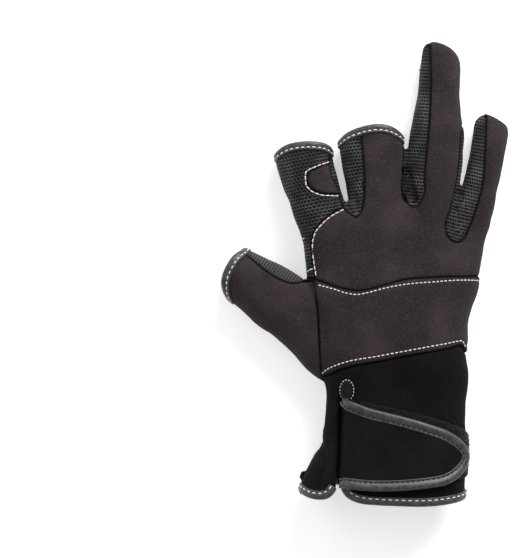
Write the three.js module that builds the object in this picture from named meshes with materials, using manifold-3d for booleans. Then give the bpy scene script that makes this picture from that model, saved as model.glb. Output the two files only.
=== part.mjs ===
// Fishing glove for the right hand, lying on its palm. Lengths are in millimetres.
// +Y points to the fingers, +Z to the back of the hand, and the thumb lies on the -X side.
// The hand, the fingers and the thumb are lofted skins, cut along the seams into sewn panels.
import * as THREE from "three";
import { mergeVertices } from "three/addons/utils/BufferGeometryUtils.js";
import Module from "manifold-3d";

// Hand, from the wrist line at Y = 0 to the webs of the fingers
const HAND_LENGTH = 100;
const HAND_WIDTH = 100;
const HAND_HEIGHT = 34;
// Cuff, from the wrist line down to its hem
const CUFF_LENGTH = 55;
const CUFF_WIDTH = 84;
const CUFF_HEIGHT = 38;
// Fingers, each measured from the knuckle line, which lies this far behind the webs, to its tip
const KNUCKLE_DEPTH = 35;
const KNUCKLE_LINE = HAND_LENGTH - KNUCKLE_DEPTH;
const INDEX_LENGTH = 68.5;
const INDEX_WIDTH = 29.6;
const INDEX_HEIGHT = 21;
const MIDDLE_LENGTH = 77;
const MIDDLE_WIDTH = 33.4;
const MIDDLE_HEIGHT = 22;
const RING_LENGTH = 119.5;
const RING_WIDTH = 29;
const RING_HEIGHT = 21;
const LITTLE_LENGTH = 82;
const LITTLE_WIDTH = 19;
const LITTLE_HEIGHT = 19;
// Thumb, reaching out from the middle of the hand
const THUMB_LENGTH = 90;
const THUMB_HEIGHT = 26;
// Cloth and trim
const WALL = 1.8;
const SEAM_GAP = 0.3;
const SEAM_LAP = 0.03;
const BAND_RELIEF = 0.7;
const PATCH_RELIEF = 0.5;
const BINDING_RELIEF = 0.8;
const BINDING_WIDTH = 4.2;
const HEM_WIDTH = 6.2;
const SLIT_WIDTH = 1.4;
const SLIT_PATCH_WIDTH = 7;
const SLIT_PATCH_LENGTH = 10;
const LOOP_THICKNESS = 1.6;
const STRAP_LENGTH = 66;
const STRAP_WIDTH = 46;
const STRAP_THICKNESS = 2.8;
const STRAP_BINDING_WIDTH = 3.6;
const STRAP_BINDING_RELIEF = 0.4;
const STRAP_ROOT_LENGTH = 5;
// How far the underside is pressed flat, and how square the sections are
const REST_DEPTH = 1.2;
const HAND_SQUARENESS = 2.5;
const FINGER_SQUARENESS = 2.2;
const HAND_SIDES = 28;
const FINGER_SIDES = 16;
const THUMB_SIDES = 20;
// Anything longer than the glove, for the cutting solids
const REACH = 400;

// Hand sections from the wrist to the webs: along in hand lengths, left and right in hand widths,
// height and the rise of the underside off the floor in hand heights
const HAND_ROWS = [
  { along: 0.0, left: -0.366, right: 0.369, height: 0.93, rise: 0.0 },
  { along: 0.1, left: -0.385, right: 0.37, height: 0.96, rise: 0.0 },
  { along: 0.22, left: -0.42, right: 0.364, height: 1.0, rise: 0.0 },
  { along: 0.38, left: -0.435, right: 0.368, height: 1.0, rise: 0.0 },
  { along: 0.52, left: -0.45, right: 0.4, height: 0.97, rise: 0.0 },
  { along: 0.66, left: -0.463, right: 0.43, height: 0.9, rise: 0.01 },
  { along: 0.8, left: -0.467, right: 0.446, height: 0.78, rise: 0.06 },
  { along: 0.92, left: -0.45, right: 0.44, height: 0.65, rise: 0.13 },
  { along: 1.02, left: -0.42, right: 0.425, height: 0.48, rise: 0.21 },
];

// Cuff sections from below the hem up to the wrist: along in cuff lengths, sides in cuff widths
const CUFF_ROWS = [
  { along: -1.1, left: -0.59, right: 0.425, height: 1.0 },
  { along: -0.84, left: -0.587, right: 0.414, height: 1.0 },
  { along: -0.69, left: -0.558, right: 0.416, height: 0.97 },
  { along: -0.55, left: -0.515, right: 0.423, height: 0.93 },
  { along: -0.4, left: -0.466, right: 0.425, height: 0.89 },
  { along: -0.2, left: -0.442, right: 0.424, height: 0.85 },
];

// Finger sections: along in finger lengths, side in hand widths, width and height in the finger's
// own, lift in hand heights. The open fingers end in a curved mouth with its peak at one side.
const FINGERS = {
  index: {
    length: INDEX_LENGTH,
    width: INDEX_WIDTH,
    height: INDEX_HEIGHT,
    mouth: { peak: 0.15, sag: 0.078 },
    rows: [
      { along: 0.0, side: -0.33, width: 0.94, height: 0.95, lift: 0.43 },
      { along: 0.28, side: -0.365, width: 0.92, height: 1.02, lift: 0.43 },
      { along: 0.54, side: -0.413, width: 0.94, height: 1.02, lift: 0.415 },
      { along: 0.65, side: -0.439, width: 0.99, height: 1.0, lift: 0.4 },
      { along: 0.77, side: -0.456, width: 0.985, height: 0.98, lift: 0.385 },
      { along: 0.9, side: -0.472, width: 0.985, height: 0.95, lift: 0.365 },
      { along: 1.06, side: -0.478, width: 0.985, height: 0.93, lift: 0.35 },
    ],
  },
  middle: {
    length: MIDDLE_LENGTH,
    width: MIDDLE_WIDTH,
    height: MIDDLE_HEIGHT,
    mouth: { peak: 0.1, sag: 0.095 },
    rows: [
      { along: 0.0, side: -0.095, width: 0.9, height: 0.95, lift: 0.46 },
      { along: 0.25, side: -0.1, width: 0.92, height: 1.0, lift: 0.455 },
      { along: 0.48, side: -0.107, width: 0.945, height: 1.0, lift: 0.44 },
      { along: 0.68, side: -0.112, width: 0.965, height: 0.98, lift: 0.42 },
      { along: 0.85, side: -0.121, width: 0.995, height: 0.95, lift: 0.39 },
      { along: 0.95, side: -0.127, width: 0.98, height: 0.93, lift: 0.37 },
      { along: 1.06, side: -0.128, width: 0.975, height: 0.91, lift: 0.355 },
    ],
  },
  ring: {
    length: RING_LENGTH,
    width: RING_WIDTH,
    height: RING_HEIGHT,
    rows: [
      { along: 0.0, side: 0.165, width: 0.9, height: 0.95, lift: 0.45 },
      { along: 0.16, side: 0.173, width: 0.905, height: 1.0, lift: 0.445 },
      { along: 0.29, side: 0.189, width: 0.925, height: 1.0, lift: 0.43 },
      { along: 0.41, side: 0.199, width: 0.97, height: 0.99, lift: 0.41 },
      { along: 0.545, side: 0.2045, width: 1.0, height: 0.96, lift: 0.385 },
      { along: 0.68, side: 0.216, width: 0.86, height: 0.9, lift: 0.355 },
      { along: 0.82, side: 0.224, width: 0.735, height: 0.82, lift: 0.31 },
      { along: 0.92, side: 0.2285, width: 0.66, height: 0.71, lift: 0.27 },
      { along: 0.965, side: 0.22, width: 0.54, height: 0.56, lift: 0.25 },
      { along: 0.99, side: 0.209, width: 0.35, height: 0.37, lift: 0.24 },
      { along: 1.0, side: 0.204, width: 0.17, height: 0.18, lift: 0.24 },
    ],
  },
  little: {
    length: LITTLE_LENGTH,
    width: LITTLE_WIDTH,
    height: LITTLE_HEIGHT,
    rows: [
      { along: 0.0, side: 0.345, width: 0.95, height: 0.94, lift: 0.4 },
      { along: 0.23, side: 0.383, width: 0.965, height: 1.0, lift: 0.39 },
      { along: 0.43, side: 0.422, width: 0.985, height: 0.98, lift: 0.375 },
      { along: 0.6, side: 0.439, width: 1.0, height: 0.93, lift: 0.35 },
      { along: 0.745, side: 0.464, width: 0.98, height: 0.88, lift: 0.315 },
      { along: 0.84, side: 0.479, width: 0.975, height: 0.82, lift: 0.29 },
      { along: 0.915, side: 0.485, width: 0.86, height: 0.69, lift: 0.265 },
      { along: 0.965, side: 0.48, width: 0.6, height: 0.48, lift: 0.25 },
      { along: 1.0, side: 0.474, width: 0.26, height: 0.21, lift: 0.245 },
    ],
  },
};

// Thumb sections from the heel of the thumb to its mouth: the two edges in plan, X in thumb
// lengths and Y in hand lengths, height in thumb heights, lift in hand heights
const THUMB_ROWS = [
  { lowX: -0.33, lowY: 0.04, highX: -0.36, highY: 0.58, height: 0.9, lift: 0.41 },
  { lowX: -0.5, lowY: 0.145, highX: -0.49, highY: 0.605, height: 1.0, lift: 0.41 },
  { lowX: -0.605, lowY: 0.25, highX: -0.556, highY: 0.643, height: 1.0, lift: 0.4 },
  { lowX: -0.705, lowY: 0.33, highX: -0.65, highY: 0.695, height: 0.97, lift: 0.39 },
  { lowX: -0.805, lowY: 0.392, highX: -0.75, highY: 0.735, height: 0.93, lift: 0.375 },
  { lowX: -0.885, lowY: 0.462, highX: -0.84, highY: 0.772, height: 0.88, lift: 0.36 },
  { lowX: -1.02, lowY: 0.56, highX: -0.98, highY: 0.81, height: 0.84, lift: 0.35 },
];

// Height of the seam between the palm and the back: along in hand lengths, lift in hand heights
const SIDE_SEAM = [
  { along: -1.0, lift: 0.46 },
  { along: 0.0, lift: 0.41 },
  { along: 1.0, lift: 0.385 },
  { along: 1.2, lift: 0.36 },
  { along: 1.5, lift: 0.28 },
  { along: 2.2, lift: 0.22 },
];

// Seam lines in plan, X in hand widths and Y in hand lengths
const THUMB_TOP_SEAM = [
  [-1.05, 0.9], [-0.84, 0.8], [-0.754, 0.736], [-0.67, 0.666], [-0.595, 0.62], [-0.53, 0.598],
  [-0.469, 0.603], [-0.422, 0.61],
];
const THUMB_BACK_SEAM = [
  [-0.422, 0.61], [-0.409, 0.505], [-0.393, 0.258], [-0.386, 0.165], [-0.368, 0.036],
];
const THUMB_UNDER_SEAM = [
  [-1.1, 0.7], [-0.86, 0.58], [-0.66, 0.47], [-0.5, 0.36], [-0.38, 0.24], [-0.27, 0.1],
  [-0.17, -0.08], [-0.1, -0.25], [-0.05, -0.45], [-0.03, -0.9],
];
const THENAR_SEAM = [
  [-0.468, 0.628], [-0.3, 0.6], [-0.067, 0.505], [0.05, 0.38], [0.077, 0.258], [0.054, 0.027],
  [-0.015, -0.13], [-0.1, -0.25],
];
const THUMB_CROTCH = [
  [-0.422, 0.623], [-0.468, 0.628], [-0.505, 0.672], [-0.6, 0.75], [-0.75, 0.85], [-1.05, 1.0],
];
const INDEX_SEAM = [
  [-0.273, 0.989], [-0.34, 0.953], [-0.388, 0.913], [-0.424, 0.866], [-0.437, 0.82],
  [-0.438, 0.767], [-0.43, 0.703], [-0.419, 0.632],
];
const BAND_TOP_EDGE = [
  [-0.6, 0.58], [-0.419, 0.619], [-0.299, 0.577], [-0.204, 0.561], [-0.072, 0.59],
  [0.041, 0.623], [0.2, 0.632], [0.427, 0.635], [0.8, 0.635],
];
const BAND_BOTTOM_EDGE = [
  [-0.6, 0.06], [-0.373, 0.117], [-0.299, 0.16], [-0.072, 0.211], [0.021, 0.228],
  [0.278, 0.273], [0.333, 0.282], [0.357, 0.25], [0.8, 0.2],
];
const NAIL_PATCH_EDGE = [
  [-0.25, 1.245], [-0.343, 1.212], [-0.416, 1.184], [-0.453, 1.163], [-0.457, 1.13],
  [-0.452, 1.109], [-0.432, 1.085], [-0.402, 1.07], [-0.25, 1.056],
];
// The feet of the three gussets, X in hand widths and Y past the webs in knuckle depths
const INDEX_GUSSET_FOOT = [
  [-0.172, 0.03], [-0.185, -0.1], [-0.208, -0.17], [-0.255, -0.115], [-0.3, -0.03],
];
const RING_GUSSET_FOOT = [
  [0.138, 0.17], [0.118, 0.06], [0.088, -0.03], [0.05, -0.03], [0.036, 0.115],
];
const LITTLE_GUSSET_FOOT = [
  [0.402, -0.085], [0.363, -0.37], [0.339, -0.5], [0.305, -0.53], [0.263, -0.43],
  [0.255, -0.285], [0.288, -0.03],
];

// Seam lines along a finger: along in finger lengths, across in half widths
const INDEX_GUSSET_LINE = [
  [1.4, 0.6], [0.94, 0.68], [0.83, 0.83], [0.74, 0.9], [0.6, 0.89], [0.5, 0.97],
];
const MIDDLE_FREE_LINE = [[0.56, 0.95], [0.75, 0.96], [1.4, 0.96]];
const MIDDLE_GUSSET_LINE = [[1.4, -0.3], [0.9, -0.32], [0.64, -0.35], [0.52, -0.4]];
const RING_FREE_LINE = [[0.32, 0.9], [0.42, 0.92], [0.7, 0.94], [0.96, 0.94], [1.2, 0.9]];
const RING_GUSSET_LINE = [
  [1.2, -0.3], [0.98, -0.36], [0.83, -0.41], [0.68, -0.35], [0.545, -0.3], [0.42, -0.37],
];
const LITTLE_GUSSET_LINE = [[1.2, -0.2], [0.97, -0.16], [0.8, -0.12], [0.53, 0.1]];

// Cuff lines, X in cuff widths and Y in cuff lengths
const HEM_BACK = [
  [-1.0, -0.8], [-0.6, -0.84], [-0.578, -0.875], [-0.53, -0.922], [-0.444, -0.922],
  [-0.4, -0.87], [-0.358, -0.81], [-0.316, -0.9], [-0.25, -0.964], [-0.11, -0.993],
  [0.12, -1.005], [0.33, -0.987], [0.42, -0.945], [0.5, -0.9], [1.0, -0.85],
];
const HEM_PALM = [[-1.0, -0.9], [-0.5, -0.92], [0.0, -0.98], [0.4, -0.93], [1.0, -0.88]];
const SLIT = { headX: -0.305, headY: 0.05, footX: -0.358, footY: -1.2 };
const LOOP_PATCH_EDGE = [
  [-0.22, -0.005], [0.006, -0.078], [0.182, -0.14], [0.299, -0.204], [0.417, -0.29],
  [0.47, -0.42], [0.465, -0.56], [0.43, -0.7], [0.2, -0.74], [-0.2, -0.76],
];
// Strap outline from its root at the slit: X in strap lengths, Y in strap widths
const STRAP_EDGE = [
  [0.02, 0.0], [0.235, -0.12], [0.46, -0.2], [0.683, -0.29], [0.87, -0.4], [0.965, -0.505],
  [1.01, -0.63], [0.998, -0.765], [0.925, -0.89], [0.83, -0.965], [0.683, -1.002],
  [0.46, -1.03], [0.16, -1.023], [-0.02, -0.99],
];

const wasm = await Module();
wasm.setup();

// A closed three.js geometry as a solid for cutting and joining
function toSolid(geometry) {
  const bare = geometry.clone();
  bare.deleteAttribute("normal");
  bare.deleteAttribute("uv");
  const merged = mergeVertices(bare, 1e-5);
  const mesh = new wasm.Mesh({
    numProp: 3,
    vertProperties: new Float32Array(merged.attributes.position.array),
    triVerts: new Uint32Array(merged.index.array),
  });
  mesh.merge();
  return new wasm.Manifold(mesh);
}

function toGeometry(solid) {
  const mesh = solid.getMesh();
  const geometry = new THREE.BufferGeometry();
  geometry.setAttribute("position", new THREE.BufferAttribute(mesh.vertProperties, 3));
  geometry.setIndex(new THREE.BufferAttribute(mesh.triVerts, 1));
  return geometry;
}

const join = (solids) => solids.reduce((whole, solid) => whole.add(solid));

// A value of a table's column where another column has the given value
function columnAt(rows, key, position, column) {
  let next = rows.findIndex((row) => row[key] > position);
  if (next < 0) next = rows.length - 1;
  if (next === 0) next = 1;
  const from = rows[next - 1];
  const to = rows[next];
  const share = (position - from[key]) / (to[key] - from[key]);
  return from[column] + (to[column] - from[column]) * share;
}

// One closed ring round a centre: flat sections standing on the line across, square or round
function ring(centre, across, halfWidth, halfHeight, squareness, sides) {
  const points = [];
  for (let i = 0; i < sides; i += 1) {
    const angle = (2 * Math.PI * (i + 0.5)) / sides;
    const cos = Math.cos(angle);
    const sin = Math.sin(angle);
    const out = Math.sign(cos) * Math.abs(cos) ** (2 / squareness) * halfWidth;
    const up = Math.sign(sin) * Math.abs(sin) ** (2 / squareness) * halfHeight;
    points.push(new THREE.Vector3(centre.x + across.x * out, centre.y + across.y * out, centre.z + up));
  }
  return points;
}

// A closed skin through rings, which turn clockwise as seen along the loft
function loft(rings) {
  const sides = rings[0].length;
  const index = [];
  for (let row = 0; row + 1 < rings.length; row += 1) {
    for (let i = 0; i < sides; i += 1) {
      const a = row * sides + i;
      const b = row * sides + ((i + 1) % sides);
      index.push(a, b + sides, b, a, a + sides, b + sides);
    }
  }
  const last = (rings.length - 1) * sides;
  for (let i = 1; i + 1 < sides; i += 1) {
    index.push(0, i, i + 1);
    index.push(last, last + i + 1, last + i);
  }
  const geometry = new THREE.BufferGeometry().setFromPoints(rings.flat());
  geometry.setIndex(index);
  return toSolid(geometry);
}

// The hand and cuff, with its skin moved outwards by grow
function handSolid(grow) {
  const rows = [
    ...CUFF_ROWS.map((row) => ({
      y: row.along * CUFF_LENGTH,
      left: row.left * CUFF_WIDTH,
      right: row.right * CUFF_WIDTH,
      height: row.height * CUFF_HEIGHT,
      rise: 0,
    })),
    ...HAND_ROWS.map((row) => ({
      y: row.along * HAND_LENGTH,
      left: row.left * HAND_WIDTH,
      right: row.right * HAND_WIDTH,
      height: row.height * HAND_HEIGHT,
      rise: row.rise * HAND_HEIGHT,
    })),
  ];
  rows[rows.length - 1].y += grow;
  const across = new THREE.Vector3(1, 0, 0);
  const rings = rows.map((row) => {
    const centreZ = row.height / 2 + row.rise - REST_DEPTH;
    const centre = new THREE.Vector3((row.left + row.right) / 2, row.y, centreZ);
    const halfWidth = (row.right - row.left) / 2 + grow;
    return ring(centre, across, halfWidth, row.height / 2 + grow, HAND_SQUARENESS, HAND_SIDES);
  });
  return loft(rings);
}

function fingerSolid(finger, grow) {
  const across = new THREE.Vector3(1, 0, 0);
  const tip = finger.mouth ? 0 : grow;
  const rings = finger.rows.map((row) => {
    const y = KNUCKLE_LINE + row.along * (finger.length + tip);
    const centre = new THREE.Vector3(row.side * HAND_WIDTH, y, row.lift * HAND_HEIGHT);
    const halfWidth = Math.max((row.width * finger.width) / 2 + grow, WALL / 4);
    const halfHeight = Math.max((row.height * finger.height) / 2 + grow, WALL / 4);
    return ring(centre, across, halfWidth, halfHeight, FINGER_SQUARENESS, FINGER_SIDES);
  });
  return loft(rings);
}

function thumbSolid(grow) {
  const rings = THUMB_ROWS.map((row) => {
    const low = new THREE.Vector3(row.lowX * THUMB_LENGTH, row.lowY * HAND_LENGTH, 0);
    const high = new THREE.Vector3(row.highX * THUMB_LENGTH, row.highY * HAND_LENGTH, 0);
    const across = high.clone().sub(low).normalize();
    const centre = low.clone().add(high).multiplyScalar(0.5);
    centre.z = row.lift * HAND_HEIGHT;
    const halfHeight = (row.height * THUMB_HEIGHT) / 2 + grow;
    return ring(centre, across, low.distanceTo(high) / 2 + grow, halfHeight, FINGER_SQUARENESS, THUMB_SIDES);
  });
  return loft(rings);
}

// Plan points from shares of the hand, of the webs, of the cuff, of the strap, and of a finger
const handPlan = (points) => points.map(([x, y]) => [x * HAND_WIDTH, y * HAND_LENGTH]);
const webPlan = (points) =>
  points.map(([x, y]) => [x * HAND_WIDTH, HAND_LENGTH + y * KNUCKLE_DEPTH]);
const cuffPlan = (points) => points.map(([x, y]) => [x * CUFF_WIDTH, y * CUFF_LENGTH]);
const strapPlan = (points) => {
  const rootX = slitX(0);
  return points.map(([x, y]) => [rootX - SLIT_WIDTH * 2 + x * STRAP_LENGTH, y * STRAP_WIDTH + SLIT_WIDTH]);
};
function fingerPlan(finger, points) {
  return points.map(([along, across]) => {
    const side = columnAt(finger.rows, "along", along, "side") * HAND_WIDTH;
    const half = (columnAt(finger.rows, "along", Math.min(along, 0.98), "width") * finger.width) / 2;
    return [side + across * half, KNUCKLE_LINE + along * finger.length];
  });
}

// A closed plan outline with every edge moved outwards by distance
function grown(outline, distance) {
  const turn = THREE.ShapeUtils.area(outline.map(([x, y]) => ({ x, y }))) > 0 ? 1 : -1;
  return outline.map((point, i) => {
    const before = outline[(i + outline.length - 1) % outline.length];
    const after = outline[(i + 1) % outline.length];
    const first = new THREE.Vector2(point[0] - before[0], point[1] - before[1]).normalize();
    const second = new THREE.Vector2(after[0] - point[0], after[1] - point[1]).normalize();
    const normal = new THREE.Vector2(first.y + second.y, -first.x - second.x).multiplyScalar(turn / 2);
    const stretch = distance / Math.max(normal.lengthSq(), 0.3);
    return [point[0] + normal.x * stretch, point[1] + normal.y * stretch];
  });
}

// An upright block over a plan outline
function block(outline, bottom = -REACH, top = REACH) {
  const shape = new THREE.Shape(outline.map(([x, y]) => new THREE.Vector2(x, y)));
  const geometry = new THREE.ExtrudeGeometry(shape, { depth: top - bottom, bevelEnabled: false });
  geometry.translate(0, 0, bottom);
  return toSolid(geometry);
}

// All that lies above or below the seam between the palm and the back
function halfSpace(side, shift) {
  const line = SIDE_SEAM.map((row) => [row.along * HAND_LENGTH, row.lift * HAND_HEIGHT + shift]);
  const first = line[0];
  const last = line[line.length - 1];
  const outline = [
    [-REACH, side * REACH], [-REACH, first[1]], ...line, [REACH, last[1]], [REACH, side * REACH],
  ];
  const shape = new THREE.Shape(outline.map(([y, z]) => new THREE.Vector2(y, z)));
  const geometry = new THREE.ExtrudeGeometry(shape, { depth: 2 * REACH, bevelEnabled: false });
  geometry.translate(0, 0, -REACH);
  geometry.applyMatrix4(new THREE.Matrix4().set(0, 0, 1, 0, 1, 0, 0, 0, 0, 1, 0, 0, 0, 0, 0, 1));
  return toSolid(geometry);
}

// The space of one panel, from its outlines on the back and on the palm
function panelSpace({ back, palm }, grow) {
  const reach = back && palm ? grow + SEAM_LAP : grow;
  const spaces = [];
  if (back) spaces.push(block(grown(back, grow)).intersect(halfSpace(1, -reach)));
  if (palm) spaces.push(block(grown(palm, grow)).intersect(halfSpace(-1, reach)));
  return join(spaces);
}

const slitX = (y) => {
  const share = (SLIT.headY * CUFF_LENGTH - y) / ((SLIT.headY - SLIT.footY) * CUFF_LENGTH);
  return (SLIT.headX + (SLIT.footX - SLIT.headX) * share) * CUFF_WIDTH;
};

// The whole skin of the hand at a distance from its outer face
const everyFinger = Object.values(FINGERS);
function gloveSolid(grow) {
  const parts = [handSolid(grow), thumbSolid(grow), ...everyFinger.map((finger) => fingerSolid(finger, grow))];
  return join(parts);
}
const wide = (value) => [[-REACH, value], [REACH, value]];
const aboveFloor = (height) => block([...wide(-REACH), ...wide(REACH).reverse()], height);
const outerSolid = gloveSolid(0);
const hollow = gloveSolid(-WALL).intersect(aboveFloor(WALL));

// The mouth of an open finger: a curve over its width, moved back by an inset
const MOUTH_STEPS = 8;
function fingerMouth(finger, inset) {
  const side = columnAt(finger.rows, "along", 1, "side") * HAND_WIDTH;
  const half = finger.width / 2 + BINDING_RELIEF * 2;
  const tip = KNUCKLE_LINE + finger.length - inset;
  const curve = [];
  for (let i = 0; i <= MOUTH_STEPS; i += 1) {
    const across = -1 + (2 * i) / MOUTH_STEPS;
    const drop = finger.mouth.sag * finger.length * (across - finger.mouth.peak) ** 2;
    curve.push([side + across * half, tip - drop]);
  }
  const far = tip + finger.length;
  return [...curve, [curve[MOUTH_STEPS][0], far], [curve[0][0], far]];
}

// The mouth of the thumb: a curve bulging outwards between its two edges
const THUMB_MOUTH = [
  [-0.86, 0.4], [-0.905, 0.475], [-0.96, 0.525], [-0.99, 0.569], [-0.998, 0.6], [-0.986, 0.65],
  [-0.956, 0.702], [-0.915, 0.752], [-0.86, 0.79], [-0.82, 0.86],
];
function thumbMouth(inset) {
  const curve = THUMB_MOUTH.map(([x, y]) => [x * THUMB_LENGTH + inset, y * HAND_LENGTH]);
  return [...curve, [-REACH, REACH], [-REACH, 0]];
}

const below = (line) => [...line, [REACH, -REACH], [-REACH, -REACH]];
const raised = (line, step) => line.map(([x, y]) => [x, y + step]);
const hemSpace = (inset) =>
  panelSpace(
    { back: below(raised(cuffPlan(HEM_BACK), inset)), palm: below(raised(cuffPlan(HEM_PALM), inset)) },
    0,
  );

const mouths = {
  index_binding: (inset) => block(fingerMouth(FINGERS.index, inset)),
  middle_binding: (inset) => block(fingerMouth(FINGERS.middle, inset)),
  thumb_binding: (inset) => block(thumbMouth(inset)),
  cuff_binding: (inset) => hemSpace(inset),
};
const bindingSkin = {
  index_binding: () => fingerSolid(FINGERS.index, BINDING_RELIEF),
  middle_binding: () => fingerSolid(FINGERS.middle, BINDING_RELIEF),
  thumb_binding: () => thumbSolid(BINDING_RELIEF),
  cuff_binding: () => handSolid(BINDING_RELIEF),
};

// The slit widens from its head at the wrist line to its foot below the hem
const slitFoot = SLIT.footY * CUFF_LENGTH;
const slitSpace = block([
  [slitX(0) - SLIT_WIDTH / 2, 0],
  [slitX(slitFoot) - SLIT_WIDTH, slitFoot],
  [slitX(slitFoot) + SLIT_WIDTH, slitFoot],
  [slitX(0) + SLIT_WIDTH / 2, 0],
]).intersect(halfSpace(1, SEAM_GAP));

// The bindings are cut first, then panels are taken off the skin one after the other, each with
// its seam gap.
const pieces = {};
let skin = outerSolid.intersect(aboveFloor(0)).subtract(hollow);
for (const [name, mouth] of Object.entries(mouths)) {
  const width = name === "cuff_binding" ? HEM_WIDTH : BINDING_WIDTH;
  const rim = mouth(width).subtract(mouth(0));
  const wall = bindingSkin[name]().intersect(aboveFloor(0)).subtract(hollow);
  pieces[name] = wall.intersect(rim);
  skin = skin.subtract(mouth(width + SEAM_GAP));
}
pieces.cuff_binding = pieces.cuff_binding.subtract(slitSpace);

// A raised panel has a skin of its own, clear of the panels that were taken before it
let taken = slitSpace;
function takePanel(name, outlines, raisedSkin) {
  const from = raisedSkin ? raisedSkin.intersect(aboveFloor(0)).subtract(hollow).subtract(taken) : skin;
  const cleared = panelSpace(outlines, SEAM_GAP);
  pieces[name] = from.intersect(panelSpace(outlines, 0));
  skin = skin.subtract(cleared);
  taken = taken.add(cleared);
}

const everywhere = [...wide(-REACH), ...wide(REACH).reverse()];
const crotch = handPlan(THUMB_CROTCH);
takePanel("thumb_palm", {
  back: [...handPlan(THUMB_TOP_SEAM), ...crotch],
  palm: [
    ...handPlan(THUMB_UNDER_SEAM.slice(0, 8)), ...handPlan(THENAR_SEAM.slice(1, -1)).reverse(),
    ...crotch.slice(1),
  ],
});
takePanel("thumb_back", {
  back: [
    ...handPlan(THUMB_TOP_SEAM), ...handPlan(THUMB_BACK_SEAM.slice(1)), [-HAND_WIDTH, 0],
    [-REACH, HAND_LENGTH],
  ],
  palm: [...handPlan(THUMB_UNDER_SEAM), [-REACH, -HAND_LENGTH], [-REACH, HAND_LENGTH]],
});
takePanel("palm_panel", { palm: everywhere });

const indexLine = fingerPlan(FINGERS.index, INDEX_GUSSET_LINE);
const indexOutline = [...indexLine, ...handPlan(INDEX_SEAM)];
indexOutline.push([-REACH, indexOutline[indexOutline.length - 1][1]], [-REACH, indexLine[0][1]]);
takePanel("index_panel", { back: indexOutline });
const middleLine = fingerPlan(FINGERS.middle, MIDDLE_GUSSET_LINE);
takePanel("gusset_index_middle", {
  back: [...middleLine, ...webPlan(INDEX_GUSSET_FOOT), ...[...indexLine].reverse()],
});
takePanel("gusset_middle_ring", {
  back: [
    ...fingerPlan(FINGERS.ring, RING_GUSSET_LINE), ...webPlan(RING_GUSSET_FOOT),
    ...fingerPlan(FINGERS.middle, MIDDLE_FREE_LINE),
  ],
});
takePanel("gusset_ring_little", {
  back: [
    ...fingerPlan(FINGERS.little, LITTLE_GUSSET_LINE), ...webPlan(LITTLE_GUSSET_FOOT),
    ...fingerPlan(FINGERS.ring, RING_FREE_LINE),
  ],
});

const bandTop = handPlan(BAND_TOP_EDGE);
const bandBottom = handPlan(BAND_BOTTOM_EDGE);
const bandOutline = [...bandTop, ...[...bandBottom].reverse()];
takePanel("band_panel", { back: bandOutline }, handSolid(BAND_RELIEF));
takePanel("wrist_panel", { back: [...bandBottom, [REACH, -REACH], [-REACH, -REACH]] });
pieces.wrist_panel = pieces.wrist_panel.subtract(slitSpace);
takePanel("back_panel", { back: everywhere });

const nailSpace = block(grown([...handPlan(NAIL_PATCH_EDGE)], 0));
const nailHole = block(grown([...handPlan(NAIL_PATCH_EDGE)], SEAM_GAP));
const indexSpace = panelSpace({ back: indexOutline }, 0);
const nailSkin = fingerSolid(FINGERS.index, PATCH_RELIEF).subtract(hollow);
pieces.nail_patch = nailSkin.intersect(nailSpace).intersect(indexSpace);
pieces.index_panel = pieces.index_panel.subtract(nailHole);

// Patches and straps that lie on the cuff, each a layer between two distances from the skin
const layer = (low, high) => handSolid(high).subtract(handSolid(low)).intersect(halfSpace(1, WALL));
function ellipse(x, y, width, length) {
  const points = [];
  for (let i = 0; i < FINGER_SIDES; i += 1) {
    const angle = (2 * Math.PI * i) / FINGER_SIDES;
    points.push([x + (Math.cos(angle) * width) / 2, y + (Math.sin(angle) * length) / 2]);
  }
  return points;
}
const loopTop = SEAM_GAP + LOOP_THICKNESS;
const strapBottom = loopTop + SEAM_GAP;
const strapTop = strapBottom + STRAP_THICKNESS;
const strapOutline = strapPlan(STRAP_EDGE);
pieces.loop_patch = layer(SEAM_GAP, loopTop).intersect(block(cuffPlan(LOOP_PATCH_EDGE)));
pieces.slit_patch = layer(SEAM_GAP, loopTop - SEAM_GAP).intersect(
  block(ellipse(slitX(0), SLIT_PATCH_LENGTH / 2, SLIT_PATCH_WIDTH, SLIT_PATCH_LENGTH)),
);
const strapInner = grown(strapOutline, -STRAP_BINDING_WIDTH);
strapInner[0][0] = strapOutline[0][0];
strapInner[strapInner.length - 1][0] = strapOutline[strapOutline.length - 1][0];
const strapCloth = block(grown(strapInner, -SEAM_GAP));
const rootX = strapOutline[0][0] + STRAP_ROOT_LENGTH;
const rootSpace = block([[-REACH, -REACH], [rootX, -REACH], [rootX, REACH], [-REACH, REACH]]);
pieces.strap = layer(strapBottom, strapTop).intersect(strapCloth);
// The root of the strap is folded down and sewn on beside the slit
const strapRoot = layer(BINDING_RELIEF + SEAM_GAP, strapTop).intersect(strapCloth).intersect(rootSpace);
pieces.strap = pieces.strap.add(strapRoot);
pieces.strap_binding = layer(strapBottom, strapTop + STRAP_BINDING_RELIEF).intersect(
  block(strapOutline).subtract(block(strapInner)),
);

const LOOKS = {
  foam: { color: 0x2b2729, roughness: 0.85 },
  mesh: { color: 0x3a3a3a, roughness: 0.75 },
  leather: { color: 0x303033, roughness: 0.45 },
  fuzz: { color: 0x161616, roughness: 0.95 },
};
const LOOK_OF = {
  thumb_palm: "mesh",
  palm_panel: "mesh",
  index_panel: "mesh",
  gusset_index_middle: "mesh",
  gusset_middle_ring: "mesh",
  gusset_ring_little: "mesh",
  index_binding: "leather",
  middle_binding: "leather",
  thumb_binding: "leather",
  cuff_binding: "leather",
  strap_binding: "leather",
  slit_patch: "leather",
  loop_patch: "fuzz",
};

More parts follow.
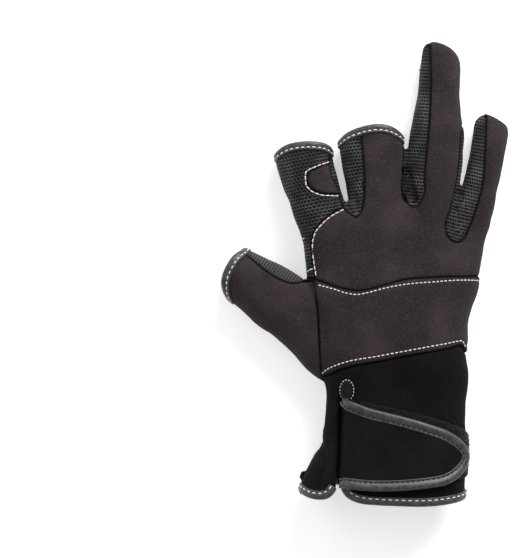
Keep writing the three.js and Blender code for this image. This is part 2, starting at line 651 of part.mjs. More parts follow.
const glove = new THREE.Group();
for (const [name, solid] of Object.entries(pieces)) {
  const look = LOOKS[LOOK_OF[name] ?? "foam"];
  const mesh = new THREE.Mesh(toGeometry(solid), new THREE.MeshStandardMaterial({ ...look, metalness: 0 }));
  mesh.name = name;
  glove.add(mesh);
}

// The glove stands over the origin: the middle of its outline in plan, with its palm at Z = 0
const { min, max } = join(Object.values(pieces)).boundingBox();
glove.position.set(-(min[0] + max[0]) / 2, -(min[1] + max[1]) / 2, -min[2]);

export default glove;
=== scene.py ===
# Fishing glove for the right hand, lying on its palm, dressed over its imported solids.
# Lengths are in millimetres from the middle of the wrist line: +Y to the fingers, thumb on -X.
import math
import bmesh
import bpy
import numpy as np
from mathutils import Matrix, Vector, noise
from mathutils.bvhtree import BVHTree
from mathutils.kdtree import KDTree


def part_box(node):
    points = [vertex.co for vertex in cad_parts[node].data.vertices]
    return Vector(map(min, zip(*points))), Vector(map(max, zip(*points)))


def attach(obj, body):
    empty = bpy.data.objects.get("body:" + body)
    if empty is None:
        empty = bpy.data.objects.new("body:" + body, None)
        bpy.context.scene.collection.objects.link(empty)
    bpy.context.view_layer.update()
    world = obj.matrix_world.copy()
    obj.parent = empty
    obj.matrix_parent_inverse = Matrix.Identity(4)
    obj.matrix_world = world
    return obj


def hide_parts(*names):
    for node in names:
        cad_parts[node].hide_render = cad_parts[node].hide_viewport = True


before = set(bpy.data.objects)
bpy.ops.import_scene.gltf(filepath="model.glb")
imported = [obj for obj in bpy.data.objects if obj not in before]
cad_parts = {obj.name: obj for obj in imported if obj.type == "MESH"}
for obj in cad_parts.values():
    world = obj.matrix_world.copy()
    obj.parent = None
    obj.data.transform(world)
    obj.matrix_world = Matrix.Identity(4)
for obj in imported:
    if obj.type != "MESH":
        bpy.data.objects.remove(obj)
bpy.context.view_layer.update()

# The skin is the whole glove as one closed form: a hand and cuff, a thumb and four fingers,
# melted together. It is a pattern only: the sewn panels are cut out of it further down.
THUMB_TIP_X = -89.8
HEM_Y = -55.3
WRIST = np.array([
    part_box("thumb_binding")[0].x * 1000 - THUMB_TIP_X,
    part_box("cuff_binding")[0].y * 1000 - HEM_Y,
    0.0,
])
GRAIN = 0.75
HAND_SQUARENESS = 2.5
FINGER_SQUARENESS = 2.2
# Outlines are read off the photo, in its pixels. Its scale is in millimetres a pixel, and
# the middle of the wrist line lies at this pixel.
PHOTO_SCALE = 0.515
PHOTO_WRIST = (396.0, 400.0)


def from_photo(readings):
    """A line in plan, in millimetres, from the pixels that it runs through."""
    return [((x - PHOTO_WRIST[0]) * PHOTO_SCALE, (PHOTO_WRIST[1] - y) * PHOTO_SCALE) for x, y in readings]


def edges_from_photo(readings):
    """Rows of along, left and right in millimetres, from pixel rows with their two edges."""
    rows = []
    for y, left, right in readings:
        (left, along), (right, _) = from_photo([(left, y), (right, y)])
        rows.append((along, left, right))
    return rows


# Edges of the hand and cuff: pixel row, left, right
HAND_EDGES = edges_from_photo([
    (516.5, 297.4, 465.1), (505, 298, 465), (492, 299, 464.5), (484, 301, 464), (476, 303.5, 464.5),
    (468, 307, 465.1), (460, 311, 465.5), (452, 315.5, 465.9), (444, 320, 466.1), (436, 323, 465.9),
    (420, 324.5, 465.5), (408, 325.3, 466.5), (396, 325, 468), (384, 324, 468.8), (372, 322, 468.8),
    (356, 318, 465.9), (340, 315, 466.5), (324, 312.5, 466.7), (308, 310.5, 470), (292, 308.5, 476),
    (276, 306.5, 479), (260, 305, 482), (244, 303, 485.3), (228, 298.9, 490), (217.5, 297.7, 491.1),
    (202, 298.9, 490.2),
])
# Underside and top of the hand and cuff: along, low, high
HAND_HEIGHTS = [
    (-60.0, -1.2, 36.8), (-46.0, -1.2, 36.8), (-38.0, -1.2, 35.7), (-30.0, -1.2, 34.1),
    (-22.0, -1.2, 32.6), (-11.0, -1.2, 31.1), (0.0, -1.2, 30.4), (10.0, -1.2, 31.4),
    (22.0, -1.2, 32.8), (38.0, -1.2, 32.8), (52.0, -1.2, 31.8), (66.0, -0.9, 29.7),
    (80.0, 0.8, 27.4), (92.0, 3.2, 25.3), (102.0, 5.9, 22.3),
]
# The same two tables for each finger
FINGERS = {
    "index": (
        edges_from_photo([
            (283.5, 307.7, 351.9), (260.2, 304.9, 351.9), (240, 302.4, 351.9), (229.1, 298.9, 351.3),
            (220, 295.2, 350), (204, 289.4, 344.9), (196, 286, 342.5), (188, 282.5, 340), (180, 280, 338),
            (172, 277.8, 336), (164, 276, 334), (156, 274.8, 333), (148, 274, 332.7), (132, 273.7, 332.3),
        ]),
        [
            (60.0, 4.6, 24.6), (84.0, 3.9, 25.3), (102.0, 3.4, 24.8), (117.7, 2.8, 23.4),
            (126.7, 2.4, 22.4), (138.0, 2.1, 21.7),
        ],
    ),
    "middle": (
        edges_from_photo([
            (283.5, 355, 402), (240, 354, 402), (212, 351.5, 402), (196, 348, 402), (180, 345, 402.5),
            (164, 342, 404), (150, 339.5, 405), (140, 338.7, 403.8), (132, 338.5, 403), (114.6, 338.7, 402.6),
        ]),
        [
            (60.0, 5.2, 26.1), (84.3, 4.5, 26.5), (102.0, 4.0, 26.0), (117.4, 3.5, 25.1),
            (130.5, 2.8, 23.7), (138.2, 2.4, 22.8), (147.0, 2.1, 22.1),
        ],
    ),
    "ring": (
        edges_from_photo([
            (283.5, 404, 452), (240, 404, 455), (200, 404, 458.5), (179, 404, 460.9), (164, 405, 462.8),
            (148, 407.5, 464.3), (132, 411, 464.2), (116, 414, 462), (100, 416.7, 461.2), (84, 419, 460.9),
            (68, 421, 460.9), (60, 422, 460.1), (54, 422.4, 457.7), (49.5, 423, 453.9), (45.4, 424.5, 448.4),
            (42.3, 427.8, 441.8), (40.8, 431.7, 437.2),
        ]),
        [
            (60.0, 5.3, 25.3), (84.0, 4.6, 25.6), (99.7, 4.1, 25.1), (114.0, 3.5, 24.3),
            (130.0, 3.0, 23.2), (146.3, 2.6, 21.5), (163.0, 1.9, 19.1), (175.0, 1.7, 16.6),
            (180.3, 2.8, 14.4), (183.3, 4.6, 12.0), (185.0, 6.9, 9.5),
        ],
    ),
    "little": (
        edges_from_photo([
            (283.5, 440.1, 477.9), (240, 446.1, 484), (212, 451.9, 493.5), (196, 458.1, 497.4),
            (180, 464, 500.9), (164, 468.2, 504), (148, 471.5, 507.1), (140, 472.9, 508.4),
            (132, 474.1, 509.6), (125.6, 474.8, 508.2), (120, 476.4, 502), (116.5, 479.5, 495.8),
            (114.2, 483.4, 490.8),
        ]),
        [
            (60.0, 4.7, 22.5), (84.0, 3.8, 22.8), (100.3, 3.4, 22.1), (114.2, 3.1, 20.7),
            (126.1, 2.3, 19.1), (134.0, 2.1, 17.7), (140.0, 2.6, 15.6), (144.4, 4.2, 13.2),
            (147.2, 6.6, 10.2),
        ],
    ),
}
# Thumb sections from the heel of the thumb outwards: lower edge, upper edge in plan, low, high
THUMB_ROWS = [
    (-29.7, 4.0, -32.4, 58.0, 2.2, 25.6), (-45.0, 14.3, -44.1, 60.5, 0.9, 26.9),
    (-54.4, 24.9, -50.0, 64.3, 0.6, 26.6), (-63.4, 32.9, -58.5, 69.4, 0.7, 25.9),
    (-72.4, 39.1, -67.3, 73.4, 0.7, 24.8), (-79.8, 46.2, -75.4, 77.0, 0.8, 23.6),
    (-91.8, 56.2, -88.2, 81.0, 1.0, 22.8),
]


def through(xs, ys, at):
    """A smooth curve through the values of a table, read at the given places."""
    xs, ys, at = np.asarray(xs, float), np.asarray(ys, float), np.asarray(at, float)
    slopes = np.gradient(ys, xs)
    i = np.clip(np.searchsorted(xs, at, side="right") - 1, 0, len(xs) - 2)
    span = xs[i + 1] - xs[i]
    t = np.clip((at - xs[i]) / span, 0, 1)
    return (
        ys[i] * (1 + 2 * t) * (1 - t) ** 2
        + ys[i + 1] * t * t * (3 - 2 * t)
        + slopes[i] * span * t * (1 - t) ** 2
        - slopes[i + 1] * span * t * t * (1 - t)
    )


def smooth_line(points, step=0.5):
    """A smooth line through a few points, with points a step apart."""
    points = np.asarray(points, float)
    along = np.concatenate([[0], np.cumsum(np.linalg.norm(np.diff(points, axis=0), axis=1))])
    places = np.linspace(0, along[-1], max(3, int(along[-1] / step) + 1))
    return np.stack([through(along, points[:, k], places) for k in range(points.shape[1])], axis=1)


def new_piece(name, points, faces):
    """A mesh object from points in millimetres from the wrist."""
    mesh = bpy.data.meshes.new(name)
    mesh.from_pydata(((np.asarray(points) + WRIST) / 1000).tolist(), [], faces)
    piece = bpy.data.objects.new(name, mesh)
    bpy.context.collection.objects.link(piece)
    return piece


def points_of(piece):
    """The points of a piece, in millimetres from the wrist."""
    co = np.empty(len(piece.data.vertices) * 3)
    piece.data.vertices.foreach_get("co", co)
    return co.reshape(-1, 3) * 1000 - WRIST


def move_points(piece, points):
    piece.data.vertices.foreach_set("co", ((points + WRIST) / 1000).ravel())
    piece.data.update()


def normals_of(piece):
    normals = np.empty(len(piece.data.vertices) * 3)
    piece.data.vertex_normals.foreach_get("vector", normals)
    return normals.reshape(-1, 3)


def select_only(*pieces):
    bpy.ops.object.select_all(action="DESELECT")
    for piece in pieces:
        piece.select_set(True)
    bpy.context.view_layer.objects.active = pieces[0]


def apply_modifier(piece, kind, **settings):
    select_only(piece)
    modifier = piece.modifiers.new(kind.lower(), kind)
    for key, value in settings.items():
        setattr(modifier, key, value)
    bpy.ops.object.modifier_apply(modifier=modifier.name)


def edit(piece, *steps):
    """Runs edit-mode operators on the whole of a piece, each a pair of operator and settings."""
    select_only(piece)
    bpy.ops.object.mode_set(mode="EDIT")
    bpy.ops.mesh.select_mode(type="VERT")
    bpy.ops.mesh.select_all(action="SELECT")
    for operator, settings in steps:
        operator(**settings)
    bpy.ops.object.mode_set(mode="OBJECT")


def sections(edges, heights, places):
    """Lower edge, upper edge in plan, low and high of a tube at places along it."""
    edges, heights = np.array(edges), np.array(heights)
    left, right = (through(edges[:, 0], edges[:, k], places) for k in (1, 2))
    low, high = (through(heights[:, 0], heights[:, k], places) for k in (1, 2))
    return np.stack([left, places, right, places, low, high], axis=1)


def ring_points(rows, angles, squareness, grow=0.0):
    """Rings of points round the sections of a tube, rows by angles."""
    cos, sin = np.cos(angles), np.sin(angles)
    out = np.sign(cos) * np.abs(cos) ** (2 / squareness)
    up = np.sign(sin) * np.abs(sin) ** (2 / squareness)
    middle = (rows[:, 0:2] + rows[:, 2:4]) / 2
    half = (rows[:, 2:4] - rows[:, 0:2]) / 2
    half = half * (1 + grow / np.linalg.norm(half, axis=1, keepdims=True))
    plan = middle[:, None, :] + half[:, None, :] * out[None, :, None]
    height = (rows[:, 4] + rows[:, 5])[:, None] / 2 + ((rows[:, 5] - rows[:, 4]) / 2 + grow)[:, None] * up
    return np.concatenate([plan, height[:, :, None]], axis=2)


def tube(name, rows, squareness, grow=0.0, sides=72):
    """A closed tube through its sections."""
    angles = (np.arange(sides) + 0.5) * 2 * math.pi / sides
    points = ring_points(rows, angles, squareness, grow)
    faces = []
    for row in range(len(rows) - 1):
        for i in range(sides):
            a, b = row * sides + i, row * sides + (i + 1) % sides
            faces.append((a, b, b + sides, a + sides))
    last = (len(rows) - 1) * sides
    faces.append(tuple(range(sides))[::-1])
    faces.append(tuple(last + i for i in range(sides)))
    piece = new_piece(name, points.reshape(-1, 3), faces)
    edit(piece, (bpy.ops.mesh.normals_make_consistent, {"inside": False}))
    return piece


hand_rows = sections(HAND_EDGES, HAND_HEIGHTS, np.linspace(-60, 102, 136))
finger_rows = {
    name: sections(edges, heights, np.linspace(edges[0][0], edges[-1][0], 110))
    for name, (edges, heights) in FINGERS.items()
}
thumb_rows = smooth_line(THUMB_ROWS, 1.2)
tubes = [tube("skin", hand_rows, HAND_SQUARENESS), tube("thumb", thumb_rows, FINGER_SQUARENESS)]
tubes += [tube(name, rows, FINGER_SQUARENESS) for name, rows in finger_rows.items()]
select_only(*tubes)
bpy.ops.object.join()
skin = tubes[0]
apply_modifier(skin, "REMESH", mode="VOXEL", voxel_size=GRAIN / 1000)
apply_modifier(skin, "SMOOTH", factor=0.5, iterations=6)

# The cloth isn't drum-tight: it sags into soft folds where the hand would bend. Each fold is a
# line in plan with its side, half width and depth; the palm is pressed flat on the table.
FOLDS = [
    ([(-48.0, 52.0), (-44.5, 40.0), (-41.0, 26.0)], 1, 3.6, 0.6),
    ([(-52.0, 57.0), (-60.0, 54.0), (-68.0, 54.5)], 1, 5.0, 0.5),
    ([(-28.4, 3.0), (-29.6, -20.0), (-31.0, -46.0)], 1, 1.3, 0.9),
    ([(-39.5, -21.0), (-37.5, -30.0), (-41.0, -44.0)], 1, 1.7, 1.5),
    ([(-36.0, -16.0), (-33.8, -30.0), (-35.0, -50.0)], 1, 2.2, -0.8),
    ([(-60.0, 36.0), (-50.0, 31.0), (-43.0, 22.0)], 1, 5.0, 0.8),
    ([(-54.0, 103.0), (-44.0, 101.0), (-34.0, 103.5)], 1, 3.0, 0.45),
    ([(-22.0, 112.0), (-10.0, 114.0), (2.0, 111.0)], 1, 4.0, 0.5),
    ([(6.0, 129.0), (20.0, 132.0), (34.0, 128.0)], 1, 4.5, 0.5),
    ([(11.5, 158.0), (22.0, 160.0), (33.0, 157.0)], 1, 4.5, 0.4),
    ([(36.0, 108.0), (44.0, 110.0), (54.0, 107.0)], 1, 4.0, 0.45),
    ([(-38.0, 3.0), (-10.0, 7.0), (20.0, 4.0), (38.0, -1.0)], 1, 6.0, 0.6),
    ([(-30.0, 88.0), (-10.0, 80.0), (20.0, 78.0), (44.0, 84.0)], 1, 8.0, 0.6),
    ([(5.2, 118.0), (6.8, 110.0), (8.8, 104.0)], 1, 1.7, 2.2),
    ([(32.4, 106.0), (31.0, 100.0), (28.8, 90.0)], 1, 1.7, 2.2),
    ([(-24.8, 100.0), (-22.6, 96.4)], 1, 1.4, 1.4),
    ([(-21.4, 105.0), (-20.4, 97.0)], 1, 1.3, 1.2),
    ([(5.4, 108.0), (8.1, 102.2)], 1, 1.3, 1.3),
    ([(9.2, 109.0), (9.0, 101.6)], 1, 1.3, 1.2),
    ([(12.6, 108.5), (10.2, 102.4)], 1, 1.3, 1.0),
    ([(28.0, 92.0), (30.4, 84.6)], 1, 1.3, 1.3),
    ([(31.8, 93.0), (31.4, 84.2)], 1, 1.3, 1.2),
    ([(35.2, 94.0), (32.7, 85.4)], 1, 1.3, 1.0),
]
# A fold marks only cloth that leans this much to its side
FOLD_LEAN = -0.35
# The palm side of the wrist is gathered on elastic, from below this line in plan
GATHER_START = -24.0
GATHER_RUN = 8.0
GATHER_PITCH = 6.2
GATHER_SLANT = 0.06
GATHER_DEPTH = 2.2
GATHER_LEAN = -0.2
# Cloth lower than this is pressed towards the table
PRESS = 0.6
# Swells of the cloth: size, depth and which of the random patterns
SWELLS = [(26.0, 0.55, 1), (9.0, 0.22, 2), (4.0, 0.07, 3)]
SWELL_SHIFT = 7.0


def gap_to(cloud, points):
    """Distance of each point from a cloud of points."""
    tree = KDTree(len(cloud))
    for i, point in enumerate(cloud):
        tree.insert(point, i)
    tree.balance()
    return np.array([tree.find(point)[2] for point in points])


def distance_to(line, points):
    """Distance in plan of each point from a line."""
    return gap_to(*(np.pad(np.asarray(flat), ((0, 0), (0, 1))) for flat in (line, points)))


def sag(points, normals):
    """Broad random swells of the cloth, the same at every run."""
    depth = np.zeros(len(points))
    for size, amount, pattern in SWELLS:
        shift = Vector((pattern * SWELL_SHIFT,) * 3)
        depth += amount * np.array([noise.noise(Vector(point) / size + shift) for point in points])
    return points + normals * depth[:, None]


points, normals = points_of(skin), normals_of(skin)
points = sag(points, normals)
for line, side, width, depth in FOLDS:
    near = np.nonzero(normals[:, 2] * side > FOLD_LEAN)[0]
    gap = distance_to(smooth_line(line), points[near, :2])
    points[near] -= normals[near] * (depth * np.exp(-((gap / width) ** 2)))[:, None]
gathers = np.clip((GATHER_START - points[:, 1]) / GATHER_RUN, 0, 1) * (normals[:, 2] < GATHER_LEAN)
waves = 0.5 + 0.5 * np.cos(2 * math.pi * (points[:, 0] + GATHER_SLANT * points[:, 1]) / GATHER_PITCH)
points[:, 2] += gathers * GATHER_DEPTH * waves ** 2
pressed = PRESS * np.exp((points[:, 2] - PRESS) / PRESS)
points[:, 2] = np.where(points[:, 2] < PRESS, pressed, points[:, 2])
move_points(skin, points)

# The panels are the cloth of the glove, cut out of the skin along its seams: foam fabric on the
# back, open mesh on the palm and between the fingers, sewn edge to edge with turned seams.
CUTTER_REACH = 200.0
SIDE_SEAM = [(-70, 16.0), (0, 14.0), (100, 13.1), (120, 12.2), (150, 9.6), (200, 7.8)]


def prism(name, first, second):
    """A block between two outlines with as many corners."""
    count = len(first)
    faces = [tuple(range(count))[::-1], tuple(range(count, 2 * count))]
    faces += [(i, (i + 1) % count, (i + 1) % count + count, i + count) for i in range(count)]
    block = new_piece(name, first + second, faces)
    edit(block, (bpy.ops.mesh.normals_make_consistent, {"inside": False}))
    return block


def upright(name, outline, low=-CUTTER_REACH, high=CUTTER_REACH):
    """An upright block over an outline in plan."""
    return prism(name, *([(x, y, z) for x, y in outline] for z in (low, high)))


def above_side_seam():
    """Everything above the seam between the palm and the back."""
    ys = np.arange(-70, 201, 3.0)
    zs = through(*zip(*SIDE_SEAM), ys)
    outline = [(y, z) for y, z in zip(ys, zs)] + [(200, CUTTER_REACH), (-70, CUTTER_REACH)]
    return prism("above_seam", *([(x, y, z) for y, z in outline] for x in (-CUTTER_REACH, CUTTER_REACH)))


cloth_mark = bpy.data.materials.new("cloth_mark")
cut_mark = bpy.data.materials.new("cut_mark")


def cut(piece, block, keep_inside, name=None):
    """Cuts a piece with a block. With a name the result is a new piece."""
    if name:
        copy = piece.copy()
        copy.data = piece.data.copy()
        copy.name = name
        bpy.context.collection.objects.link(copy)
        piece = copy
    for mesh, marks in ((piece.data, (cloth_mark, cut_mark)), (block.data, (cut_mark,))):
        for mark in marks:
            if mark.name not in mesh.materials:
                mesh.materials.append(mark)
    apply_modifier(
        piece, "BOOLEAN", object=block, solver="MANIFOLD",
        operation="INTERSECT" if keep_inside else "DIFFERENCE",
    )
    return piece


def drop(*pieces):
    for piece in pieces:
        bpy.data.objects.remove(piece)


def take(piece, block, name):
    """Takes the part of a piece inside a block as a new piece, and leaves the rest."""
    taken = cut(piece, block, True, name)
    cut(piece, block, False)
    return taken


# Seam lines in plan
THUMB_TOP_SEAM = [
    (-105, 90), (-84, 80), (-75.4, 73.6), (-67, 66.6), (-59.5, 62), (-53, 60.3), (-47.6, 61.2),
]
BACK_SEAM = [(-42.2, 61.8), (-40.9, 50.5), (-39.3, 25.8), (-38.6, 16.5), (-36.8, 3.6)]
THUMB_UNDER_SEAM = [
    (-110, 70), (-86, 58), (-66, 47), (-50, 36), (-36.8, 23), (-24.9, 8), (-15.5, -10), (-9.5, -25),
    (-6, -40), (-4, -60),
]
THENAR_SEAM = [
    (-46.8, 62.8), (-30, 60), (-6.7, 50.5), (5, 38), (7.7, 25.8), (5.4, 2.7), (-1.5, -13), (-9.5, -25),
]
# The thenar panel ends at this point of the seam under the thumb
THENAR_END = 8
CROTCH = [(-46.8, 62.8), (-50.5, 67.2), (-60, 75), (-75, 85), (-105, 100)]
INDEX_SEAM = [
    (-27.3, 98.9), (-34, 95.3), (-38.8, 91.3), (-42.4, 86.6), (-43.7, 82), (-43.9, 76.7),
    (-43.1, 70.3), (-41.9, 62.2),
]
INDEX_SIDE = [
    (-31.5, 140), (-33, 128), (-34.4, 122), (-33.6, 116), (-31.4, 111), (-29.2, 105.5), (-27.3, 98.9),
]
INDEX_GUSSET_FOOT = [(-17.2, 101.2), (-18.6, 96.5), (-20.6, 94.1), (-24, 96.2), (-27.3, 98.9)]
MIDDLE_SIDE = [(-18.2, 150), (-17.9, 134), (-17.1, 122), (-16.6, 112), (-17.2, 101.2)]
RING_GUSSET = [
    (3.9, 140), (3.9, 123.6), (3.4, 115.9), (3.3, 106.5), (5.2, 102), (8.8, 99.2), (11.9, 101.7), (13.9, 106),
    (14.3, 115.9), (15.7, 130.3), (17, 145.7), (17.9, 164.3), (17.7, 178), (17.6, 190),
]
LITTLE_GUSSET = [
    (33.3, 136), (32.6, 123.6), (31, 111.8), (27.6, 98), (25, 89.5), (25.9, 84.6), (31.1, 81.2), (34.2, 82.6),
    (36.6, 87), (40.3, 97), (43.7, 108.2), (45.7, 130.3), (46.6, 143), (46.9, 150),
]
BAND_TOP = [
    (-60, 62.5), (-41.9, 61.9), (-29.9, 57.9), (-20.4, 56.3), (-7.2, 59), (4.1, 62), (20, 63.1),
    (42.7, 63.5), (80, 63.5),
]
BAND_BOTTOM = [
    (-60, 3), (-37.3, 12.4), (-29.9, 15.8), (-7.2, 20.8), (2.1, 22.6), (27.8, 27.3), (32.6, 28.4),
    (35.7, 24.6), (60, 10),
]
NAIL_PATCH = [
    (-25, 124.5), (-34.5, 121.8), (-41.8, 118.7), (-45.4, 116.2), (-45.9, 113.3), (-45.5, 111.2),
    (-43.2, 108.4), (-40.4, 106.8), (-29.7, 105.9), (-20, 105.5),
]
# Mouth curves: each open end is cut here and bound there
INDEX_MOUTH = [
    (-68, 122), (-62.6, 126.2), (-58.2, 130), (-51.8, 132.2), (-43.8, 132.7), (-36.5, 131.8),
    (-33, 129.4), (-31, 126),
]
MIDDLE_MOUTH = [
    (-31, 131), (-29.2, 133.6), (-26.3, 136.8), (-20.6, 139.4), (-7.9, 141.6), (-0.5, 139.6),
    (3.9, 135.2), (5.2, 132),
]
THUMB_MOUTH = [
    (-76, 90), (-78.6, 78), (-83, 74.6), (-86.2, 70.2), (-88.9, 64.7), (-89.8, 59.7), (-89.1, 56.4),
    (-86.5, 52), (-81, 46), (-76, 38),
]
HEM_BACK_LEFT = [
    (-60, -39), (-50.6, -44.3), (-48.7, -47.2), (-44.6, -49.2), (-37.3, -49.4), (-33.4, -46.8),
    (-31.2, -44.0),
]
HEM_BACK_RIGHT = [
    (-28.6, -44.0), (-26.8, -47.4), (-21.1, -50.7), (-9.3, -52.3), (10.3, -53.0), (27.6, -52.0), (35, -49.7),
    (37, -47.4), (50, -44.5),
]
HEM_PALM = [
    (-60, -46), (-50, -48.5), (-40, -47.5), (-31, -43.6), (-22, -47.0), (0, -52.5), (25, -52),
    (36, -50), (50, -47),
]
FAR = CUTTER_REACH - 10


def beyond(line, *corners):
    """The outline between a smooth line and some far corners."""
    return [tuple(p) for p in smooth_line(line)] + list(corners)


blocks = {
    "index_mouth": upright("index_mouth", beyond(INDEX_MOUTH, (-31, 160), (-72, 160))),
    "middle_mouth": upright("middle_mouth", beyond(MIDDLE_MOUTH, (5.2, 160), (-31, 160))),
    "thumb_mouth": upright("thumb_mouth", beyond(THUMB_MOUTH, (-FAR, 38), (-FAR, 90))),
}
for block in blocks.values():
    cut(skin, block, False)
    drop(block)
back_space = above_side_seam()
back_skin = cut(skin, back_space, True, "back_skin")
palm_skin = cut(skin, back_space, False, "palm_skin")
drop(skin, back_space)
for half, line in ((palm_skin, HEM_PALM), (back_skin, HEM_BACK_LEFT + HEM_BACK_RIGHT)):
    block = upright("hem_cut", beyond(line, (FAR, -60), (FAR, -FAR), (-FAR, -FAR), (-FAR, -60)))
    cut(half, block, False)
    drop(block)

# A panel may be cut from both halves: they're joined again at the side seam
pieces = {}
thenar = beyond(THUMB_UNDER_SEAM[:THENAR_END]) + beyond(THENAR_SEAM)[::-1]
thumb_side = beyond(BACK_SEAM, (-36.5, 0), (-100, 0), (-FAR, 90))
thumb_outlines = {
    "thumb_palm": (beyond(THUMB_TOP_SEAM) + beyond(CROTCH), thenar + beyond(CROTCH)),
    "thumb_back": (beyond(THUMB_TOP_SEAM) + thumb_side, beyond(THUMB_UNDER_SEAM, (-FAR, -60), (-FAR, 100))),
}
halves = {}
for name, pair in thumb_outlines.items():
    halves[name] = []
    for half, outline in zip((back_skin, palm_skin), pair):
        block = upright("cutter", outline)
        halves[name].append(take(half, block, name))
        drop(block)
outlines = {
    "index_panel": beyond(INDEX_SIDE) + beyond(INDEX_SEAM, (-FAR, 60), (-FAR, 140)),
    "gusset_index_middle": beyond(MIDDLE_SIDE) + beyond(INDEX_GUSSET_FOOT) + beyond(INDEX_SIDE)[::-1],
    "gusset_middle_ring": beyond(RING_GUSSET, (5, 190)),
    "gusset_ring_little": beyond(LITTLE_GUSSET, (37, 150)),
    "band_panel": beyond(BAND_TOP) + beyond(BAND_BOTTOM)[::-1],
    "wrist_panel": beyond(BAND_BOTTOM, (FAR, -60), (FAR, -FAR), (-FAR, -FAR), (-FAR, -60)),
}
for name, outline in outlines.items():
    block = upright("cutter", outline)
    pieces[name] = take(back_skin, block, name)
    drop(block)
slit_block = upright("slit", [(-32.0, -60), (-30.5, -60), (-28.3, 2.0), (-29.0, 2.0)])
cut(pieces["wrist_panel"], slit_block, False)
drop(slit_block)
pieces["back_panel"] = back_skin
pieces["palm_panel"] = palm_skin
nail_block = upright("nail", beyond(NAIL_PATCH))
pieces["nail_patch"] = take(pieces["index_panel"], nail_block, "nail_patch")
drop(nail_block)
for name, pair in halves.items():
    select_only(*pair)
    bpy.ops.object.join()
    pieces[name] = pair[0]


def keep_cloth(piece):
    """Leaves the largest sheet of cloth: the cut faces and stray scraps go."""
    mesh = bmesh.new()
    mesh.from_mesh(piece.data)
    cut_faces = [face for face in mesh.faces if face.material_index != 0]
    bmesh.ops.delete(mesh, geom=cut_faces, context="FACES")
    bmesh.ops.remove_doubles(mesh, verts=mesh.verts[:], dist=0.02 / 1000)
    unseen, sheets = set(mesh.faces), []
    while unseen:
        sheet, queue = set(), [unseen.pop()]
        while queue:
            face = queue.pop()
            sheet.add(face)
            for edge in face.edges:
                for other in edge.link_faces:
                    if other in unseen:
                        unseen.discard(other)
                        queue.append(other)
        sheets.append(sheet)
    largest = max(sheets, key=len)
    scraps = [face for sheet in sheets if sheet is not largest for face in sheet]
    bmesh.ops.delete(mesh, geom=scraps, context="FACES")
    bmesh.ops.delete(mesh, geom=[v for v in mesh.verts if not v.link_faces], context="VERTS")
    mesh.to_mesh(piece.data)
    mesh.free()
    piece.data.materials.clear()


def border_of(piece):
    """Points along the open edges of a sheet."""
    mesh = piece.data
    uses = {}
    for polygon in mesh.polygons:
        for key in polygon.edge_keys:
            uses[key] = uses.get(key, 0) + 1
    ends = np.array([key for key, count in uses.items() if count == 1])
    points = points_of(piece)
    first, second = points[ends[:, 0]], points[ends[:, 1]]
    return np.concatenate([first + (second - first) * share for share in (0.0, 0.25, 0.5, 0.75)])


# Turned seams sink into the foam; a lapped edge is folded, stands up and is stitched down
SEAM_DEPTH = 0.75
SEAM_REACH = 1.9
BAND_RELIEF = 0.95
PATCH_RELIEF = 0.6
FOLD_REACH = 0.9
STITCH_INSET = 2.1
STITCH_VALLEY = 0.35
STITCH_REACH = 0.9
CLOTH = 1.6
# Rows of stitches quilted across the palm, in plan
PALM_ROWS = [
    from_photo([(301.5, 229.5), (349.5, 240), (383, 246.4), (415, 244.7), (480, 254.4)]),
    from_photo([(321, 267), (367, 267), (396, 264), (424, 265), (465.9, 279.2)]),
    from_photo([(358, 287), (408, 284), (444, 297), (467, 313)]),
]
QUILT_DEPTH = 0.75
QUILT_REACH = 1.4
QUILT_LEAN = -0.3


def folded_edge(inset):
    """Height of a folded edge, from 0 at its rim to 1 where it lies flat."""
    return np.sqrt(1 - np.clip(1 - inset / FOLD_REACH, 0, 1) ** 2)


for piece in pieces.values():
    keep_cloth(piece)
seam_gaps = {}
for name, piece in pieces.items():
    piece.name = name + "_cloth"
    piece.data.name = piece.name
    points, normals = points_of(piece), normals_of(piece)
    gap = gap_to(border_of(piece), points)
    seam_gaps[name] = gap
    depth = -SEAM_DEPTH * np.clip(1 - gap / SEAM_REACH, 0, 1) ** 2
    if name == "band_panel":
        edges = [distance_to(smooth_line(edge), points[:, :2]) for edge in (BAND_TOP, BAND_BOTTOM)]
        inset = np.min(edges, axis=0)
        depth += BAND_RELIEF * folded_edge(inset)
        depth -= STITCH_VALLEY * np.exp(-(((inset - STITCH_INSET) / STITCH_REACH) ** 2))
    if name == "palm_panel":
        rows = [distance_to(smooth_line(row), points[:, :2]) for row in PALM_ROWS]
        quilting = QUILT_DEPTH * np.exp(-((np.min(rows, axis=0) / QUILT_REACH) ** 2))
        depth -= quilting * (normals[:, 2] < QUILT_LEAN)
    if name == "nail_patch":
        depth += PATCH_RELIEF * folded_edge(gap)
    points = points + normals * depth[:, None]
    points[:, 2] = np.maximum(points[:, 2], 0.0)
    move_points(piece, points)


def surface_of(sheets, left=-CUTTER_REACH, right=CUTTER_REACH, start=-CUTTER_REACH):
    """The faces of some sheets between two sides, as one surface to lay stitches and trim on."""
    points, faces = [], []
    for sheet in sheets:
        first = len(points)
        own = points_of(sheet)
        points += own.tolist()
        inside = (own[:, 0] > left) & (own[:, 0] < right) & (own[:, 1] > start)
        for polygon in sheet.data.polygons:
            if inside[list(polygon.vertices)].all():
                faces.append([first + i for i in polygon.vertices])
    return BVHTree.FromPolygons(points, faces)


cloth_surface = surface_of(pieces.values())
index_surface = surface_of(pieces.values(), right=-30.9, start=110.0)
middle_surface = surface_of(pieces.values(), -30.9, 5.6, 115.0)


def dress(piece, node, slot, *finishes):
    """Gives a finished piece its materials and stands it in for a CAD node."""
    for finish in finishes:
        piece.data.materials.append(finish.material)
    for polygon in piece.data.polygons:
        polygon.use_smooth = True
    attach(piece, "root")
    if node:
        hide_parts(node)


